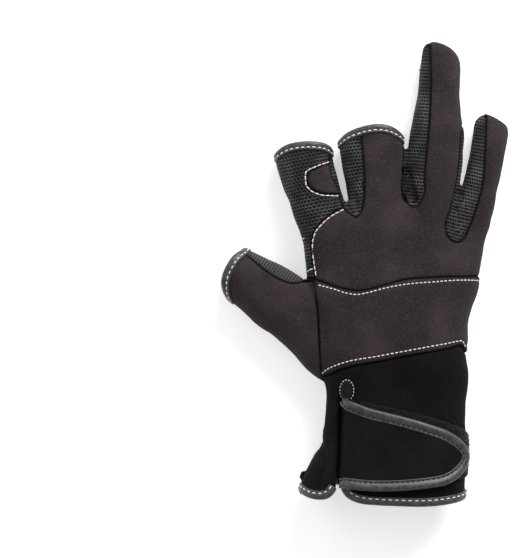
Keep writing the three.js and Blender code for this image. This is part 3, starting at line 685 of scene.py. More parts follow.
class Value:
    """A number in a material: a formula on it adds Math nodes."""

    def __init__(self, finish, socket):
        self.finish = finish
        self.socket = socket

    def maths(self, operation, *terms):
        return self.finish.add("ShaderNodeMath", {"operation": operation}, dict(enumerate(terms)))

    def __add__(self, other):
        return self.maths("ADD", self, other)

    def __sub__(self, other):
        return self.maths("SUBTRACT", self, other)

    def __rsub__(self, other):
        return self.maths("SUBTRACT", other, self)

    def __mul__(self, other):
        return self.maths("MULTIPLY", self, other)

    def __truediv__(self, other):
        return self.maths("DIVIDE", self, other)

    def __pow__(self, other):
        return self.maths("POWER", self, other)

    def __mod__(self, other):
        return self.maths("FLOORED_MODULO", self, other)

    def __abs__(self):
        return self.maths("ABSOLUTE", self)

    __radd__ = __add__
    __rmul__ = __mul__


class Finish:
    """A material with a Principled shader, and one method that adds any other node."""

    def __init__(self, name, constants):
        self.material = bpy.data.materials.new(name)
        self.material.use_nodes = True
        self.shader = self.material.node_tree.nodes["Principled BSDF"]
        self.fill(self.shader, constants)

    def fill(self, node, values):
        for key, value in values.items():
            if isinstance(value, Value):
                self.material.node_tree.links.new(value.socket, node.inputs[key])
            else:
                node.inputs[key].default_value = value

    def add(self, kind, settings=None, values=None, output=0):
        node = self.material.node_tree.nodes.new(kind)
        for key, value in (settings or {}).items():
            setattr(node, key, value)
        self.fill(node, values or {})
        return Value(self, node.outputs[output])

    def noise(self, size, detail=2.0, roughness=0.5):
        """Soft random values on the piece, with lumps of a size in millimetres."""
        place = self.add("ShaderNodeTexCoord", output="Object")
        values = {"Vector": place, "Scale": 1000.0 / size, "Detail": detail, "Roughness": roughness}
        return self.add("ShaderNodeTexNoise", None, values)

    def weave(self):
        """Millimetres across the cloth, along it and from its seams."""
        place = self.add("ShaderNodeAttribute", {"attribute_name": "weave"}, None, "Vector")
        split = self.add("ShaderNodeSeparateXYZ", None, {0: place}).socket.node
        return [Value(self, socket) for socket in split.outputs]

    def step(self, value, low, high):
        """Smoothly from 0 to 1 between two values."""
        smooth = {"interpolation_type": "SMOOTHSTEP"}
        return self.add("ShaderNodeMapRange", smooth, {0: value, 1: low, 2: high})

    def mix(self, share, first, second):
        """A colour between two."""
        return self.add("ShaderNodeMix", {"data_type": "RGBA"}, {0: share, 6: first, 7: second}, 2)

    def cover(self, colour, roughness, height, depth):
        """Sends the pattern to the shader, with relief of a depth in millimetres."""
        bump = self.add("ShaderNodeBump", None, {"Strength": 1.0, "Distance": depth / 1000, "Height": height})
        self.fill(self.shader, {"Base Color": colour, "Roughness": roughness, "Normal": bump})


# Foam fabric: black jersey bonded to thin foam, with a faint mottle and paler lint
KNIT_PITCH = 0.62
KNIT_ROW = 0.5
# Near every seam the colour goes to black: painted shade in the sunken seams, partly the seams' own dark
# thread. The two numbers are where it starts and ends, in millimetres from the seam.
SEAM_SHADE_AND_THREAD_REACH = (0.35, 1.0)
SEAM_SHADE_AND_THREAD_BLACK = (0.0015, 0.0015, 0.0015, 1)


def foam_finish(name, dark, light, lint, gloss):
    finish = Finish(name, {"Specular IOR Level": gloss, "Sheen Weight": gloss * 0.2, "Sheen Roughness": 0.45})
    across, along, gap = finish.weave()
    across = across / KNIT_PITCH
    loop = abs(across % 1.0 - 0.5) * 2.0
    chevron = abs((along / KNIT_ROW + loop * 0.7) % 1.0 - 0.5) * 2.0
    knit = (1.0 - chevron ** 2.0) * (0.35 + 0.65 * loop)
    clouds = finish.step(finish.noise(22.0, 3.0), 0.3, 0.75)
    speckle = finish.step(finish.noise(0.85, 2.0, 0.7), 0.5, 0.72)
    colour = finish.mix(clouds, dark, light)
    colour = finish.mix(speckle * 0.55, colour, lint)
    # Painted shade, partly dark thread: the colour goes to black along the seams
    colour = finish.mix(finish.step(gap, *SEAM_SHADE_AND_THREAD_REACH), SEAM_SHADE_AND_THREAD_BLACK, colour)
    rough = 0.84 + 0.1 * clouds
    relief = knit * 0.6 + finish.noise(1.3, 2.0) * 0.9
    finish.cover(colour, rough, relief, 0.16)
    return finish


foam = foam_finish(
    "foam_fabric", dark=(0.0185, 0.0135, 0.0152, 1), light=(0.0405, 0.0295, 0.033, 1),
    lint=(0.08, 0.06, 0.065, 1), gloss=0.16,
)
cuff_foam = foam_finish(
    "cuff_foam", dark=(0.0048, 0.0042, 0.0042, 1), light=(0.0095, 0.0083, 0.0081, 1),
    lint=(0.0175, 0.016, 0.0155, 1), gloss=0.07,
)

# Open mesh: grey polyester strands round staggered oblong holes
MESH_PITCH = 2.5
MESH_ROW = 1.75
HOLE_HALF = (0.92, 0.5)
STRAND = 0.42


def mesh_finish(name, strand_colour, hole_colour, lit_patch_colour, size=1.0):
    finish = Finish(name, {"Specular IOR Level": 0.2})
    across, along, gap = finish.weave()
    across = (across + 0.9 * finish.noise(7.0)) / size
    along = (along + 0.7 * finish.noise(9.0)) / size
    row = along / MESH_ROW
    odd = row.maths("FLOOR", row) % 2.0
    from_side = abs((across / MESH_PITCH + 0.5 * odd) % 1.0 - 0.5) * (MESH_PITCH / HOLE_HALF[0])
    from_row = abs(row % 1.0 - 0.5) * (MESH_ROW / HOLE_HALF[1])
    reach = from_side ** 2.6 + from_row ** 2.6
    strand = finish.step(reach, 0.55, 1.7)
    twist = abs(((across + along * 0.6) / STRAND) % 1.0 - 0.5) * 2.0
    crown = finish.step(reach, 0.8, 6.0)
    # Painted light: random lighter patches of the strands stand in for the uneven light across the mesh
    lit_patches = finish.step(finish.noise(14.0, 3.0), 0.35, 0.7)
    colour = finish.mix(lit_patches, strand_colour, lit_patch_colour)
    # The strands are a little darker in the grooves of their twist: painted shade
    colour = finish.mix(strand * (0.8 + 0.2 * twist), hole_colour, colour)
    # Painted shade, partly dark thread: the colour goes to black along the seams
    colour = finish.mix(finish.step(gap, *SEAM_SHADE_AND_THREAD_REACH), SEAM_SHADE_AND_THREAD_BLACK, colour)
    rough = 0.78 - 0.24 * strand
    relief = strand * 0.55 + crown * 0.45 + twist * strand * 0.12
    finish.cover(colour, rough, relief, 0.6)
    return finish


mesh_cloth = mesh_finish(
    "mesh_fabric", strand_colour=(0.029, 0.0283, 0.029, 1), hole_colour=(0.0008, 0.0008, 0.0008, 1),
    lit_patch_colour=(0.11, 0.108, 0.108, 1),
)
# The thumb strip's mesh is finer, and its paler strands and holes are painted light: they stand in for the
# light that the strip catches from the top light.
lit_thumb_mesh = mesh_finish(
    "lit_thumb_mesh", strand_colour=(0.085, 0.083, 0.082, 1), hole_colour=(0.014, 0.0135, 0.013, 1),
    lit_patch_colour=(0.125, 0.122, 0.12, 1), size=0.85,
)

# Lining: short dark terry
lining = Finish("lining", {"Specular IOR Level": 0.2, "Sheen Weight": 0.05})
terry = lining.noise(0.9, 2.0)
# Darker in the hollows of the terry, where its relief is low: painted shade
terry_colour = lining.mix(lining.step(terry, 0.35, 0.7), (0.006, 0.006, 0.006, 1), (0.022, 0.021, 0.021, 1))
lining.cover(terry_colour, 0.9, terry, 0.3)

# Which way each panel's cloth runs, where that isn't along the hand
CLOTH_AXES = {
    "index_panel": (-0.2, 0.98), "nail_patch": (-0.2, 0.98), "gusset_index_middle": (-0.12, 0.99),
    "thumb_back": (-0.81, 0.58), "thumb_palm": (-0.81, 0.58), "gusset_ring_little": (0.24, 0.97),
    "gusset_middle_ring": (0.1, 0.995),
}
BACK_HEIGHT = 25.0
MESH_PANELS = ("palm_panel", "index_panel", "gusset_index_middle", "gusset_middle_ring", "gusset_ring_little")


def lay_weave(piece, axis, gap=None):
    """Stores how far each point lies across and along the cloth and from its seams, in millimetres."""
    points, normals = points_of(piece), normals_of(piece)
    axis = np.array(axis) / np.linalg.norm(axis)
    side = np.array([axis[1], -axis[0]])
    leaning = np.tanh(3.0 * normals[:, :2] @ side)
    drop_down = np.where(normals[:, 2] < 0, points[:, 2] + BACK_HEIGHT, BACK_HEIGHT - points[:, 2])
    across = points[:, :2] @ side + leaning * drop_down
    gap = np.full(len(points), BACK_HEIGHT) if gap is None else gap
    values = np.stack([across, points[:, :2] @ axis, gap], axis=1)
    store = piece.data.attributes.new("weave", "FLOAT_VECTOR", "POINT")
    store.data.foreach_set("vector", values.ravel().astype(np.float32))


for name, piece in pieces.items():
    lay_weave(piece, CLOTH_AXES.get(name, (0.0, 1.0)), seam_gaps[name])
    if name == "thumb_palm":
        outside, slot = lit_thumb_mesh, "mesh_fabric"
    elif name in MESH_PANELS:
        outside, slot = mesh_cloth, "mesh_fabric"
    else:
        outside, slot = cuff_foam if name == "wrist_panel" else foam, "foam_fabric"
    dress(piece, name, slot, outside, lining)
    apply_modifier(
        piece, "SOLIDIFY", thickness=CLOTH / 1000, offset=-1, use_even_offset=False, use_quality_normals=True,
        material_offset=1, material_offset_rim=0,
    )
    points = points_of(piece)
    points[:, 2] = np.maximum(points[:, 2], 0.0)
    move_points(piece, points)


# The bindings are strips of thin leather folded over each open end and stitched through.
BINDING_INSET = 2.0
BINDING_STEP = 0.7
TABLE_GAP = 0.05
# Section of a folded strip: outwards from the path and up from the cloth
BINDING_SECTION = [
    (-1.7, -0.7), (-2.0, 0.0), (-1.95, 0.5), (-1.6, 0.78), (-1.0, 0.82), (-0.65, 0.6), (-0.25, 0.82),
    (0.7, 1.02), (1.7, 0.86), (2.5, 0.2), (2.75, -0.7), (2.4, -1.6), (1.4, -2.2), (0.0, -2.5),
    (-1.5, -2.5), (-1.7, -2.1), (-1.4, -1.8), (0.9, -1.6), (1.4, -1.1), (0.9, -0.7),
]
BINDING_STITCH = -0.65
# Mean radius of the cuff, which turns angles round it into lengths
CUFF_RADIUS = 25.0


def lift_to(surface, points):
    """The nearest points of a surface and its directions there."""
    spots = [surface.find_nearest(Vector(point)) for point in points]
    places = np.array([tuple(spot[0]) for spot in spots])
    ups = np.array([tuple(spot[1]) for spot in spots])
    return places, ups


def drop_to(surface, plan, side=1):
    """The points of a line in plan laid on the back or the palm of a surface."""
    places, ups = [], []
    for x, y in plan:
        hit = surface.ray_cast(Vector((x, y, side * CUTTER_REACH)), Vector((0, 0, -side)))
        if hit[0] is None:
            hit = surface.find_nearest(Vector((x, y, 15.0)))
        places.append(tuple(hit[0]))
        ups.append(tuple(hit[1]))
    return np.array(places), np.array(ups)


def even_out(values, closed, passes=6):
    """Softens a run of points or directions along a path."""
    for _ in range(passes):
        if closed:
            values = (np.roll(values, 1, 0) + values * 2 + np.roll(values, -1, 0)) / 4
        else:
            middle = (values[:-2] + values[1:-1] * 2 + values[2:]) / 4
            values = np.concatenate([values[:1], middle, values[-1:]])
    return values


def unit(vectors):
    return vectors / np.maximum(np.linalg.norm(vectors, axis=1, keepdims=True), 1e-9)


def frame_along(path, ups, closed, turn=1):
    """Even directions along a path: sideways and up."""
    if closed:
        onward = unit(np.roll(path, -1, 0) - np.roll(path, 1, 0))
    else:
        onward = unit(np.gradient(path, axis=0))
    ups = unit(even_out(ups, closed))
    sideways = unit(np.cross(onward, ups)) * turn
    return sideways, unit(np.cross(sideways, onward)) * turn


def respace(path, step, closed):
    """Points a step apart along a path in space."""
    if closed:
        path = np.concatenate([path, path[:1]])
    along = np.concatenate([[0], np.cumsum(np.linalg.norm(np.diff(path, axis=0), axis=1))])
    count = max(4, int(round(along[-1] / step)))
    places = np.linspace(0, along[-1], count + 1)
    even = np.stack([np.interp(places, along, path[:, k]) for k in range(3)], axis=1)
    return even[:-1] if closed else even


def sweep(name, path, sideways, ups, section, closed):
    """A solid strip with one section all along a path."""
    section = np.array(section)
    points = path[:, None] + sideways[:, None] * section[None, :, 0:1] + ups[:, None] * section[None, :, 1:2]
    points[:, :, 2] = np.maximum(points[:, :, 2], TABLE_GAP)
    rows, count = len(path), len(section)
    faces = []
    for row in range(rows if closed else rows - 1):
        for i in range(count):
            a, b = row * count + i, row * count + (i + 1) % count
            c, d = ((row + 1) % rows) * count + i, ((row + 1) % rows) * count + (i + 1) % count
            faces.append((a, b, d, c))
    if not closed:
        faces += [tuple(range(count))[::-1], tuple((rows - 1) * count + i for i in range(count))]
    strip = new_piece(name, points.reshape(-1, 3), faces)
    edit(strip, (bpy.ops.mesh.normals_make_consistent, {"inside": False}))
    apply_modifier(strip, "SUBSURF", levels=1, render_levels=1)
    return strip


def binding(name, rim, closed, turn, surface):
    """A folded strip along a rim, with its path and the directions along it."""
    rim = respace(rim, BINDING_STEP, closed)
    places, ups = lift_to(surface, rim)
    places = even_out(places, closed, 3)
    sideways, _ = frame_along(places, ups, closed, turn)
    path, ups = lift_to(surface, places - sideways * BINDING_INSET)
    path = even_out(respace(path, BINDING_STEP, closed), closed, 4)
    path, ups = lift_to(surface, path)
    path = even_out(path, closed, 3)
    sideways, ups = frame_along(path, ups, closed, turn)
    return sweep(name, path, sideways, ups, BINDING_SECTION, closed), path, sideways, ups


def spots_on(rows, angles, squareness):
    """One point on each section, each at its own angle."""
    pairs = [(rows[i:i + 1], angles[i:i + 1]) for i in range(len(angles))]
    return np.array([ring_points(row, angle, squareness)[0, 0] for row, angle in pairs])


# The angles of the points on a rim, where the search for the thumb's rim starts along it, and the
# length that one whole share of the thumb stands for in that search
RIM_ANGLES = np.linspace(0, 2 * math.pi, 121)[:-1]
THUMB_RIM_START = 0.93
THUMB_RIM_STEP = 60.0


def finger_rim(finger, mouth):
    """The ring of points round a finger where its mouth curve cuts it."""
    line = smooth_line(mouth)
    ys = np.full(len(RIM_ANGLES), line[:, 1].mean())
    for _ in range(6):
        rows = sections(*FINGERS[finger], ys)
        points = spots_on(rows, RIM_ANGLES, FINGER_SQUARENESS)
        ys = np.interp(points[:, 0], line[:, 0], line[:, 1])
    points[:, 1] = ys
    return points


def thumb_rim():
    """The same round the thumb, whose sections don't run along the hand."""
    line = smooth_line(THUMB_MOUTH)[::-1]
    places = np.full(len(RIM_ANGLES), THUMB_RIM_START)
    spots = np.linspace(0, 1, len(thumb_rows))
    for _ in range(12):
        rows = np.stack([np.interp(places, spots, thumb_rows[:, k]) for k in range(6)], axis=1)
        points = spots_on(rows, RIM_ANGLES, FINGER_SQUARENESS)
        target = np.interp(points[:, 1], line[:, 1], line[:, 0])
        places = np.clip(places + (points[:, 0] - target) / THUMB_RIM_STEP, 0.5, 1.0)
    return points


def cuff_angle(x, y, palm):
    """The angle round the cuff's section of a point in plan."""
    row = sections(HAND_EDGES, HAND_HEIGHTS, np.array([y]))[0]
    out = np.clip((x - (row[0] + row[2]) / 2) / ((row[2] - row[0]) / 2), -1, 1)
    angle = math.acos(np.sign(out) * abs(out) ** (HAND_SQUARENESS / 2))
    return -angle if palm else angle


def hem_rim():
    """The hem from one lip of the slit round the palm to the other lip."""
    turns = [(cuff_angle(x, y, False), y) for x, y in HEM_BACK_LEFT[:0:-1] if x > -49]
    turns += [(math.pi, -46.8)]
    turns += [(2 * math.pi + cuff_angle(x, y, True), y) for x, y in HEM_PALM[1:-1] if -47 < x < 34]
    turns += [(2 * math.pi, -49.8)]
    turns += [(2 * math.pi + cuff_angle(x, y, False), y) for x, y in HEM_BACK_RIGHT[::-1] if x < 34]
    turns = np.array(turns)
    line = smooth_line(turns * (CUFF_RADIUS, 1.0), 0.5)
    rows = sections(HAND_EDGES, HAND_HEIGHTS, line[:, 1])
    return spots_on(rows, line[:, 0] / CUFF_RADIUS, HAND_SQUARENESS)


def leather_finish(name, dark, light, gloss):
    """Thin black leather with a fine grain, creased across where it is folded over."""
    finish = Finish(name, {"Specular IOR Level": gloss})
    creases = finish.noise(2.4, 3.0, 0.6)
    grain = finish.noise(0.5, 2.0)
    # The colour follows the creases' relief: darker in their hollows (painted shade) and paler on their
    # ridges (painted highlight)
    colour = finish.mix(finish.step(creases, 0.3, 0.7), dark, light)
    rough = 0.28 + 0.26 * finish.step(creases, 0.2, 0.8)
    finish.cover(colour, rough, creases * 0.75 + grain * 0.25, 0.3)
    return finish


leather = leather_finish(
    "binding", dark=(0.022, 0.0225, 0.0215, 1), light=(0.056, 0.057, 0.054, 1), gloss=0.5,
)
patch_leather = leather_finish(
    "patch_leather", dark=(0.002, 0.002, 0.002, 1), light=(0.009, 0.009, 0.009, 1), gloss=0.22,
)
sewn_paths = []
for name, rim, closed, turn, surface in (
    ("index_binding", finger_rim("index", INDEX_MOUTH), True, 1, index_surface),
    ("middle_binding", finger_rim("middle", MIDDLE_MOUTH), True, 1, middle_surface),
    ("thumb_binding", thumb_rim(), True, 1, cloth_surface),
    ("cuff_binding", hem_rim(), False, -1, cloth_surface),
):
    strip, path, sideways, ups = binding(name + "_leather", rim, closed, turn, surface)
    dress(strip, name, "binding", leather)
    sewn_paths.append((path + sideways * BINDING_STITCH, ups, closed))

# The strap closes the cuff over a patch of loops: foam cloth with a leather binding, sewn into
# the slit at its root. The slit's head is covered with a small oval of leather.
STRAP_EDGE = from_photo([
    (340.5, 395.8), (368.3, 406.4), (397, 413.5), (425.7, 421.7), (449.6, 431.2), (462, 440.8),
    (467.8, 452.3), (466, 464), (457, 475.3), (444.8, 482), (425.7, 485.3), (397, 487.7),
    (358.7, 487.2), (335.7, 484),
])
LOOP_EDGE = from_photo([
    (360, 400.6), (397, 408.3), (425.7, 415), (444.8, 421.7), (464, 431), (470.2, 444.6), (469.7, 456),
    (466, 473), (434.8, 479.6), (361, 479.6),
])
SLIT_HEAD = (-25.6, 5.4)
SLIT_PATCH_HALF = (2.9, 4.8)
STRAP_TOP = 4.7
STRAP_EASE = 0.3
STRAP_CLOTH = 2.3
STRAP_ROOT_REACH = 7.0
STRAP_SINK = 0.9
# The point of the edge at the strap's tip, and how fine its grid is
STRAP_TIP = 6
STRAP_FINENESS = 240
STRAP_ROWS = 48
STRAP_INSET = 1.8
# Section of the strap's binding, with a stitched lip on its inner side
STRAP_SECTION = [
    (-3.3, -0.9), (-3.8, -0.3), (-3.75, 0.2), (-3.4, 0.36), (-2.9, 0.3), (-2.55, 0.14), (-2.2, 0.34),
    (-1.3, 0.84), (-0.1, 1.1), (1.0, 0.9), (1.7, 0.25), (1.95, -0.8), (1.5, -1.9), (0.4, -2.5),
    (-1.2, -2.6), (-2.6, -2.6), (-3.0, -2.3), (-1.0, -1.7),
]
STRAP_STITCH = -2.55
STRAP_STITCH_LIFT = 0.1
cuff_rows = sections(HAND_EDGES, HAND_HEIGHTS, np.linspace(-58, 20, 98))


def cuff_shell(grow):
    return tube("shell", cuff_rows, HAND_SQUARENESS, grow, 220)


def cuff_sheet(name, outline, grow, thickness):
    """A patch on the back of the cuff, at a height off it, cut to an outline in plan."""
    shell = cuff_shell(grow)
    block = upright("cutter", outline, 15.0)
    sheet = cut(shell, block, True, name)
    drop(shell, block)
    keep_cloth(sheet)
    lay_weave(sheet, (0.0, 1.0))
    apply_modifier(
        sheet, "SOLIDIFY", thickness=thickness / 1000, offset=1, use_even_offset=False,
        use_quality_normals=True,
    )
    return sheet


def on_strap(plan):
    """Places and directions on top of the strap, which dips into the seam at its root."""
    points, ups = drop_to(strap_form, plan)
    (low_x, low_y), (high_x, high_y) = STRAP_EDGE[-1], STRAP_EDGE[0]
    root = np.interp(points[:, 1], (low_y, high_y), (low_x, high_x))
    share = np.clip((points[:, 0] - root) / STRAP_ROOT_REACH, 0, 1)
    return points - ups * ((STRAP_TOP + STRAP_SINK) * (1 - share) ** 3)[:, None], ups


form = cuff_shell(STRAP_TOP - STRAP_EASE)
strap_form = surface_of([form])
drop(form)
strap_line = smooth_line(STRAP_EDGE)
tip = int(np.argmin(np.linalg.norm(strap_line - STRAP_EDGE[STRAP_TIP], axis=1)))
flat_line = np.pad(strap_line, ((0, 0), (0, 1)))
strap_step = len(strap_line) / STRAP_FINENESS
halves = [respace(half, strap_step, False) for half in (flat_line[:tip + 1], flat_line[tip:][::-1])]
columns = min(len(half) for half in halves)
upper, lower = (half[np.linspace(0, len(half) - 1, columns).astype(int)] for half in halves)
shares = np.linspace(0, 1, STRAP_ROWS)[:, None, None]
plan = (upper[None] * (1 - shares) + lower[None] * shares).reshape(-1, 3)
points, _ = on_strap(plan[:, :2])
faces = [
    (r * columns + c, (r + 1) * columns + c, (r + 1) * columns + c + 1, r * columns + c + 1)
    for r in range(STRAP_ROWS - 1) for c in range(columns - 1)
]
strap = new_piece("strap_cloth", points, faces)
edit(strap, (bpy.ops.mesh.remove_doubles, {"threshold": 0.05 / 1000}))
if normals_of(strap)[:, 2].mean() < 0:
    edit(strap, (bpy.ops.mesh.flip_normals, {}))
lay_weave(strap, (0.0, 1.0))
apply_modifier(strap, "SOLIDIFY", thickness=STRAP_CLOTH / 1000, offset=-1, use_even_offset=False)
dress(strap, "strap", "foam_fabric", cuff_foam)

rim, ups = on_strap(strap_line)
sideways, _ = frame_along(rim, ups, False, -1)
path, ups = on_strap((rim - sideways * STRAP_INSET)[:, :2])
path = even_out(respace(path, BINDING_STEP, False), False, 4)
_, ups = on_strap(path[:, :2])
sideways, ups = frame_along(path, ups, False, -1)
strip = sweep("strap_binding_leather", path, sideways, ups, STRAP_SECTION, False)
dress(strip, "strap_binding", "binding", leather)
strap_row = path + sideways * STRAP_STITCH + ups * STRAP_STITCH_LIFT
strap_row_ups = ups

# Loop side of the fastening: a patch of short black loops on the cuff, mostly under the strap
loop_finish = Finish("loop_fabric", {"Specular IOR Level": 0.2, "Sheen Weight": 0.12, "Sheen Roughness": 0.5})
tufts = loop_finish.noise(0.55, 3.0, 0.7)
tuft_shade = loop_finish.step(tufts, 0.4, 0.7)
tuft_colour = loop_finish.mix(tuft_shade, (0.004, 0.004, 0.004, 1), (0.02, 0.019, 0.018, 1))
loop_finish.cover(tuft_colour, 0.95, tufts, 0.6)
LOOP_PATCH_FOOT = 0.5
LOOP_PATCH_CLOTH = 1.0
loops = cuff_sheet("loop_patch_fuzz", beyond(LOOP_EDGE), LOOP_PATCH_FOOT, LOOP_PATCH_CLOTH)
dress(loops, "loop_patch", "loop_fabric", loop_finish)
loop_ground = surface_of([loops])

SLIT_PATCH_FOOT = 0.3
SLIT_PATCH_CLOTH = 0.8
turns = np.linspace(0, 2 * math.pi, 41)[:-1]
oval = [
    (SLIT_HEAD[0] + SLIT_PATCH_HALF[0] * math.cos(turn), SLIT_HEAD[1] + SLIT_PATCH_HALF[1] * math.sin(turn))
    for turn in turns
]
patch = cuff_sheet("slit_patch_leather", oval, SLIT_PATCH_FOOT, SLIT_PATCH_CLOTH)
dress(patch, "slit_patch", "binding", patch_leather)

# Loops of the fastening patch that stand up from it, so its edge is fuzzy against the cuff
LOOP_COUNT = 2600
LOOP_HEIGHT = 1.1
LOOP_SPAN = 0.5
LOOP_THREAD = 0.07
LOOP_SIDES = (0.0, 2.1, 4.2)
ARCH_DIP = 0.15
ARCH_SPOTS = 6
rng = np.random.default_rng(7)


def lies_inside(line, x, y):
    """Whether a place lies inside a closed line: it crosses the line an odd number of times."""
    ahead = np.roll(line, -1, 0)
    crosses = (line[:, 1] > y) != (ahead[:, 1] > y)
    rise = np.where(crosses, ahead[:, 1] - line[:, 1], 1)
    cut_x = line[:, 0] + (y - line[:, 1]) * (ahead[:, 0] - line[:, 0]) / rise
    return np.count_nonzero(crosses & (cut_x > x)) % 2 == 1


line = smooth_line(LOOP_EDGE)
spots = rng.uniform(line.min(0), line.max(0), (LOOP_COUNT * 3, 2))
spots = spots[np.array([lies_inside(line, x, y) for x, y in spots])][:LOOP_COUNT]
places, ups = drop_to(loop_ground, spots)
points, faces = [], []
arch = np.linspace(-ARCH_DIP, math.pi + ARCH_DIP, ARCH_SPOTS)
for place, up in zip(places, ups):
    heading = rng.uniform(0, math.pi)
    across = unit(np.cross(up, [math.cos(heading), math.sin(heading), 0.3])[None])[0]
    side = np.cross(up, across)
    lean = side * rng.uniform(-0.5, 0.5)
    span, height = LOOP_SPAN * rng.uniform(0.7, 1.3), LOOP_HEIGHT * rng.uniform(0.5, 1.1)
    first = len(points)
    for angle in arch:
        middle = place + across * span * math.cos(angle) + (up + lean) * height * math.sin(angle)
        out = across * math.cos(angle) + up * math.sin(angle)
        for turn in LOOP_SIDES:
            points.append(middle + (out * math.cos(turn) + side * math.sin(turn)) * LOOP_THREAD)
    for row in range(len(arch) - 1):
        for i in range(3):
            a, b = first + row * 3 + i, first + row * 3 + (i + 1) % 3
            faces.append((a, b, b + 3, a + 3))
fuzz = new_piece("loop_fuzz", points, faces)
dress(fuzz, None, "loop_fabric", loop_finish)

# Every seam that shows is sewn with thick white thread, the strap and the elastic with black.
# A stitch is a short bead of two-ply thread whose ends dive into the cloth.
THREAD = 0.31
THREAD_SIDES = 8
BEAD_SPOTS = np.array([-1.0, -0.88, -0.5, 0.0, 0.5, 0.88, 1.0])
BEAD_LIFT = 0.2
BEAD_DIP = 0.3
rng = np.random.default_rng(11)


def thread_finish(name, dark, light):
    finish = Finish(name, {"Specular IOR Level": 0.3})
    place = finish.add("ShaderNodeAttribute", {"attribute_name": "ply"}, None, "Vector")
    split = finish.add("ShaderNodeSeparateXYZ", None, {0: place})
    ply = abs(split % 1.0 - 0.5) * 2.0
    # Darker in the groove between the two plies: painted shade
    finish.cover(finish.mix(1.0 - ply ** 3.0, dark, light), 0.55 + 0.2 * ply, 1.0 - ply ** 2.0, 0.12)
    return finish


white_thread = thread_finish("white_thread", (0.5, 0.49, 0.47, 1), (0.92, 0.91, 0.89, 1))
black_thread = thread_finish("black_thread", (0.002, 0.002, 0.002, 1), (0.008, 0.008, 0.008, 1))


def sew(name, slot, finish, runs, thread=THREAD):
    """Beads of thread along some runs: places, ups, whether closed, pitch and length."""
    points, faces, plies = [], [], []
    turns = np.arange(THREAD_SIDES) * 2 * math.pi / THREAD_SIDES
    for places, ups, closed, pitch, length in runs:
        if closed:
            places, ups = np.concatenate([places, places[:1]]), np.concatenate([ups, ups[:1]])
        ups = unit(even_out(ups, False))
        along = np.concatenate([[0], np.cumsum(np.linalg.norm(np.diff(places, axis=0), axis=1))])
        count = max(1, int(round(along[-1] / pitch)))
        for i in range(count):
            middle = (i + 0.5) * along[-1] / count + rng.uniform(-0.08, 0.08)
            size = rng.uniform(0.93, 1.07)
            spots = middle + BEAD_SPOTS * length / 2
            line = np.stack([np.interp(spots, along, places[:, k]) for k in range(3)], axis=1)
            up = np.array([np.interp(middle, along, ups[:, k]) for k in range(3)])
            onward = unit((line[-1] - line[0])[None])[0]
            side = unit(np.cross(onward, up)[None])[0]
            up = np.cross(side, onward)
            skew = rng.uniform(-0.07, 0.07)
            first = len(points)
            for spot, centre in zip(BEAD_SPOTS, line):
                centre = centre + up * (BEAD_LIFT - BEAD_DIP * spot ** 4) + side * (skew * spot * length / 2)
                reach = thread * size * math.sqrt(max(1.02 - spot ** 6, 0.0))
                for turn in turns:
                    points.append(centre + (side * math.cos(turn) + up * math.sin(turn)) * reach)
                    plies.append(((spot + 1) * length / 1.5 + turn / math.pi, 0.0, 0.0))
            for row in range(len(BEAD_SPOTS) - 1):
                for k in range(THREAD_SIDES):
                    a, b = first + row * THREAD_SIDES + k, first + row * THREAD_SIDES + (k + 1) % THREAD_SIDES
                    faces.append((a, b, b + THREAD_SIDES, a + THREAD_SIDES))
            last = first + (len(BEAD_SPOTS) - 1) * THREAD_SIDES
            faces.append(tuple(first + k for k in range(THREAD_SIDES))[::-1])
            faces.append(tuple(last + k for k in range(THREAD_SIDES)))
    points = np.array(points)
    points[:, 2] = np.maximum(points[:, 2], TABLE_GAP)
    piece = new_piece(name, points, faces)
    edit(piece, (bpy.ops.mesh.normals_make_consistent, {"inside": False}))
    store = piece.data.attributes.new("ply", "FLOAT_VECTOR", "POINT")
    store.data.foreach_set("vector", np.array(plies, dtype=np.float32).ravel())
    dress(piece, None, slot, finish)


def run_over(line, pitch, length, side=1):
    """A run of stitches laid on the cloth along a line in plan."""
    places, ups = drop_to(cloth_surface, smooth_line(line), side)
    return places, ups, False, pitch, length


INDEX_ROW = [
    (-27.0, 98.0), (-33.6, 94.4), (-38.2, 90.5), (-41.6, 86.1), (-42.7, 82.6), (-43.0, 76.7), (-42.2, 70.2),
    (-41.2, 63.8),
]
NAIL_ROW = from_photo([
    (329, 162), (314.4, 167.6), (305.7, 172.7), (305.2, 180), (305.7, 185), (310.8, 191.5), (317.4, 194.6),
    (338.4, 196.4),
])
BAND_TOP_ROW = from_photo([
    (317.6, 285), (333, 289), (345, 293), (355.4, 294.5), (369, 292), (382, 288.5), (404.4, 284.4),
    (435, 281.8), (455, 280.3), (477.6, 280.4),
])
BAND_BOTTOM_ROW = from_photo([
    (321.8, 373.3), (326.1, 369.3), (336, 364.4), (380.6, 354.6), (409.5, 349.2), (435, 344.6),
    (449.4, 342.1), (456.2, 340.8), (459.9, 340.4), (464.7, 346.8),
])
STRAY_ENDS = [[(-49.6, 81.8), (-47.2, 83.4)], [(-46.6, 65.4), (-44.2, 67.0), (-42.8, 67.6)]]
sew("white_stitches", "foam_fabric", white_thread, [
    run_over(INDEX_ROW, pitch=2.9, length=2.55),
    run_over(NAIL_ROW, pitch=2.7, length=2.5),
    run_over(BAND_TOP_ROW, pitch=2.15, length=1.5),
    run_over(BAND_BOTTOM_ROW, pitch=2.35, length=1.65),
] + [run_over(line, pitch=2.9, length=2.7) for line in STRAY_ENDS])

# The three finger bindings are closed rings, and the hem's is an open run with longer stitches
RIM_STITCHES = (2.9, 1.95)
HEM_STITCHES = (3.4, 2.15)
BINDING_LIFT = 0.6
sew("binding_stitches", "binding", white_thread, [
    (path + ups * BINDING_LIFT, ups, closed, *(RIM_STITCHES if closed else HEM_STITCHES))
    for path, ups, closed in sewn_paths
])

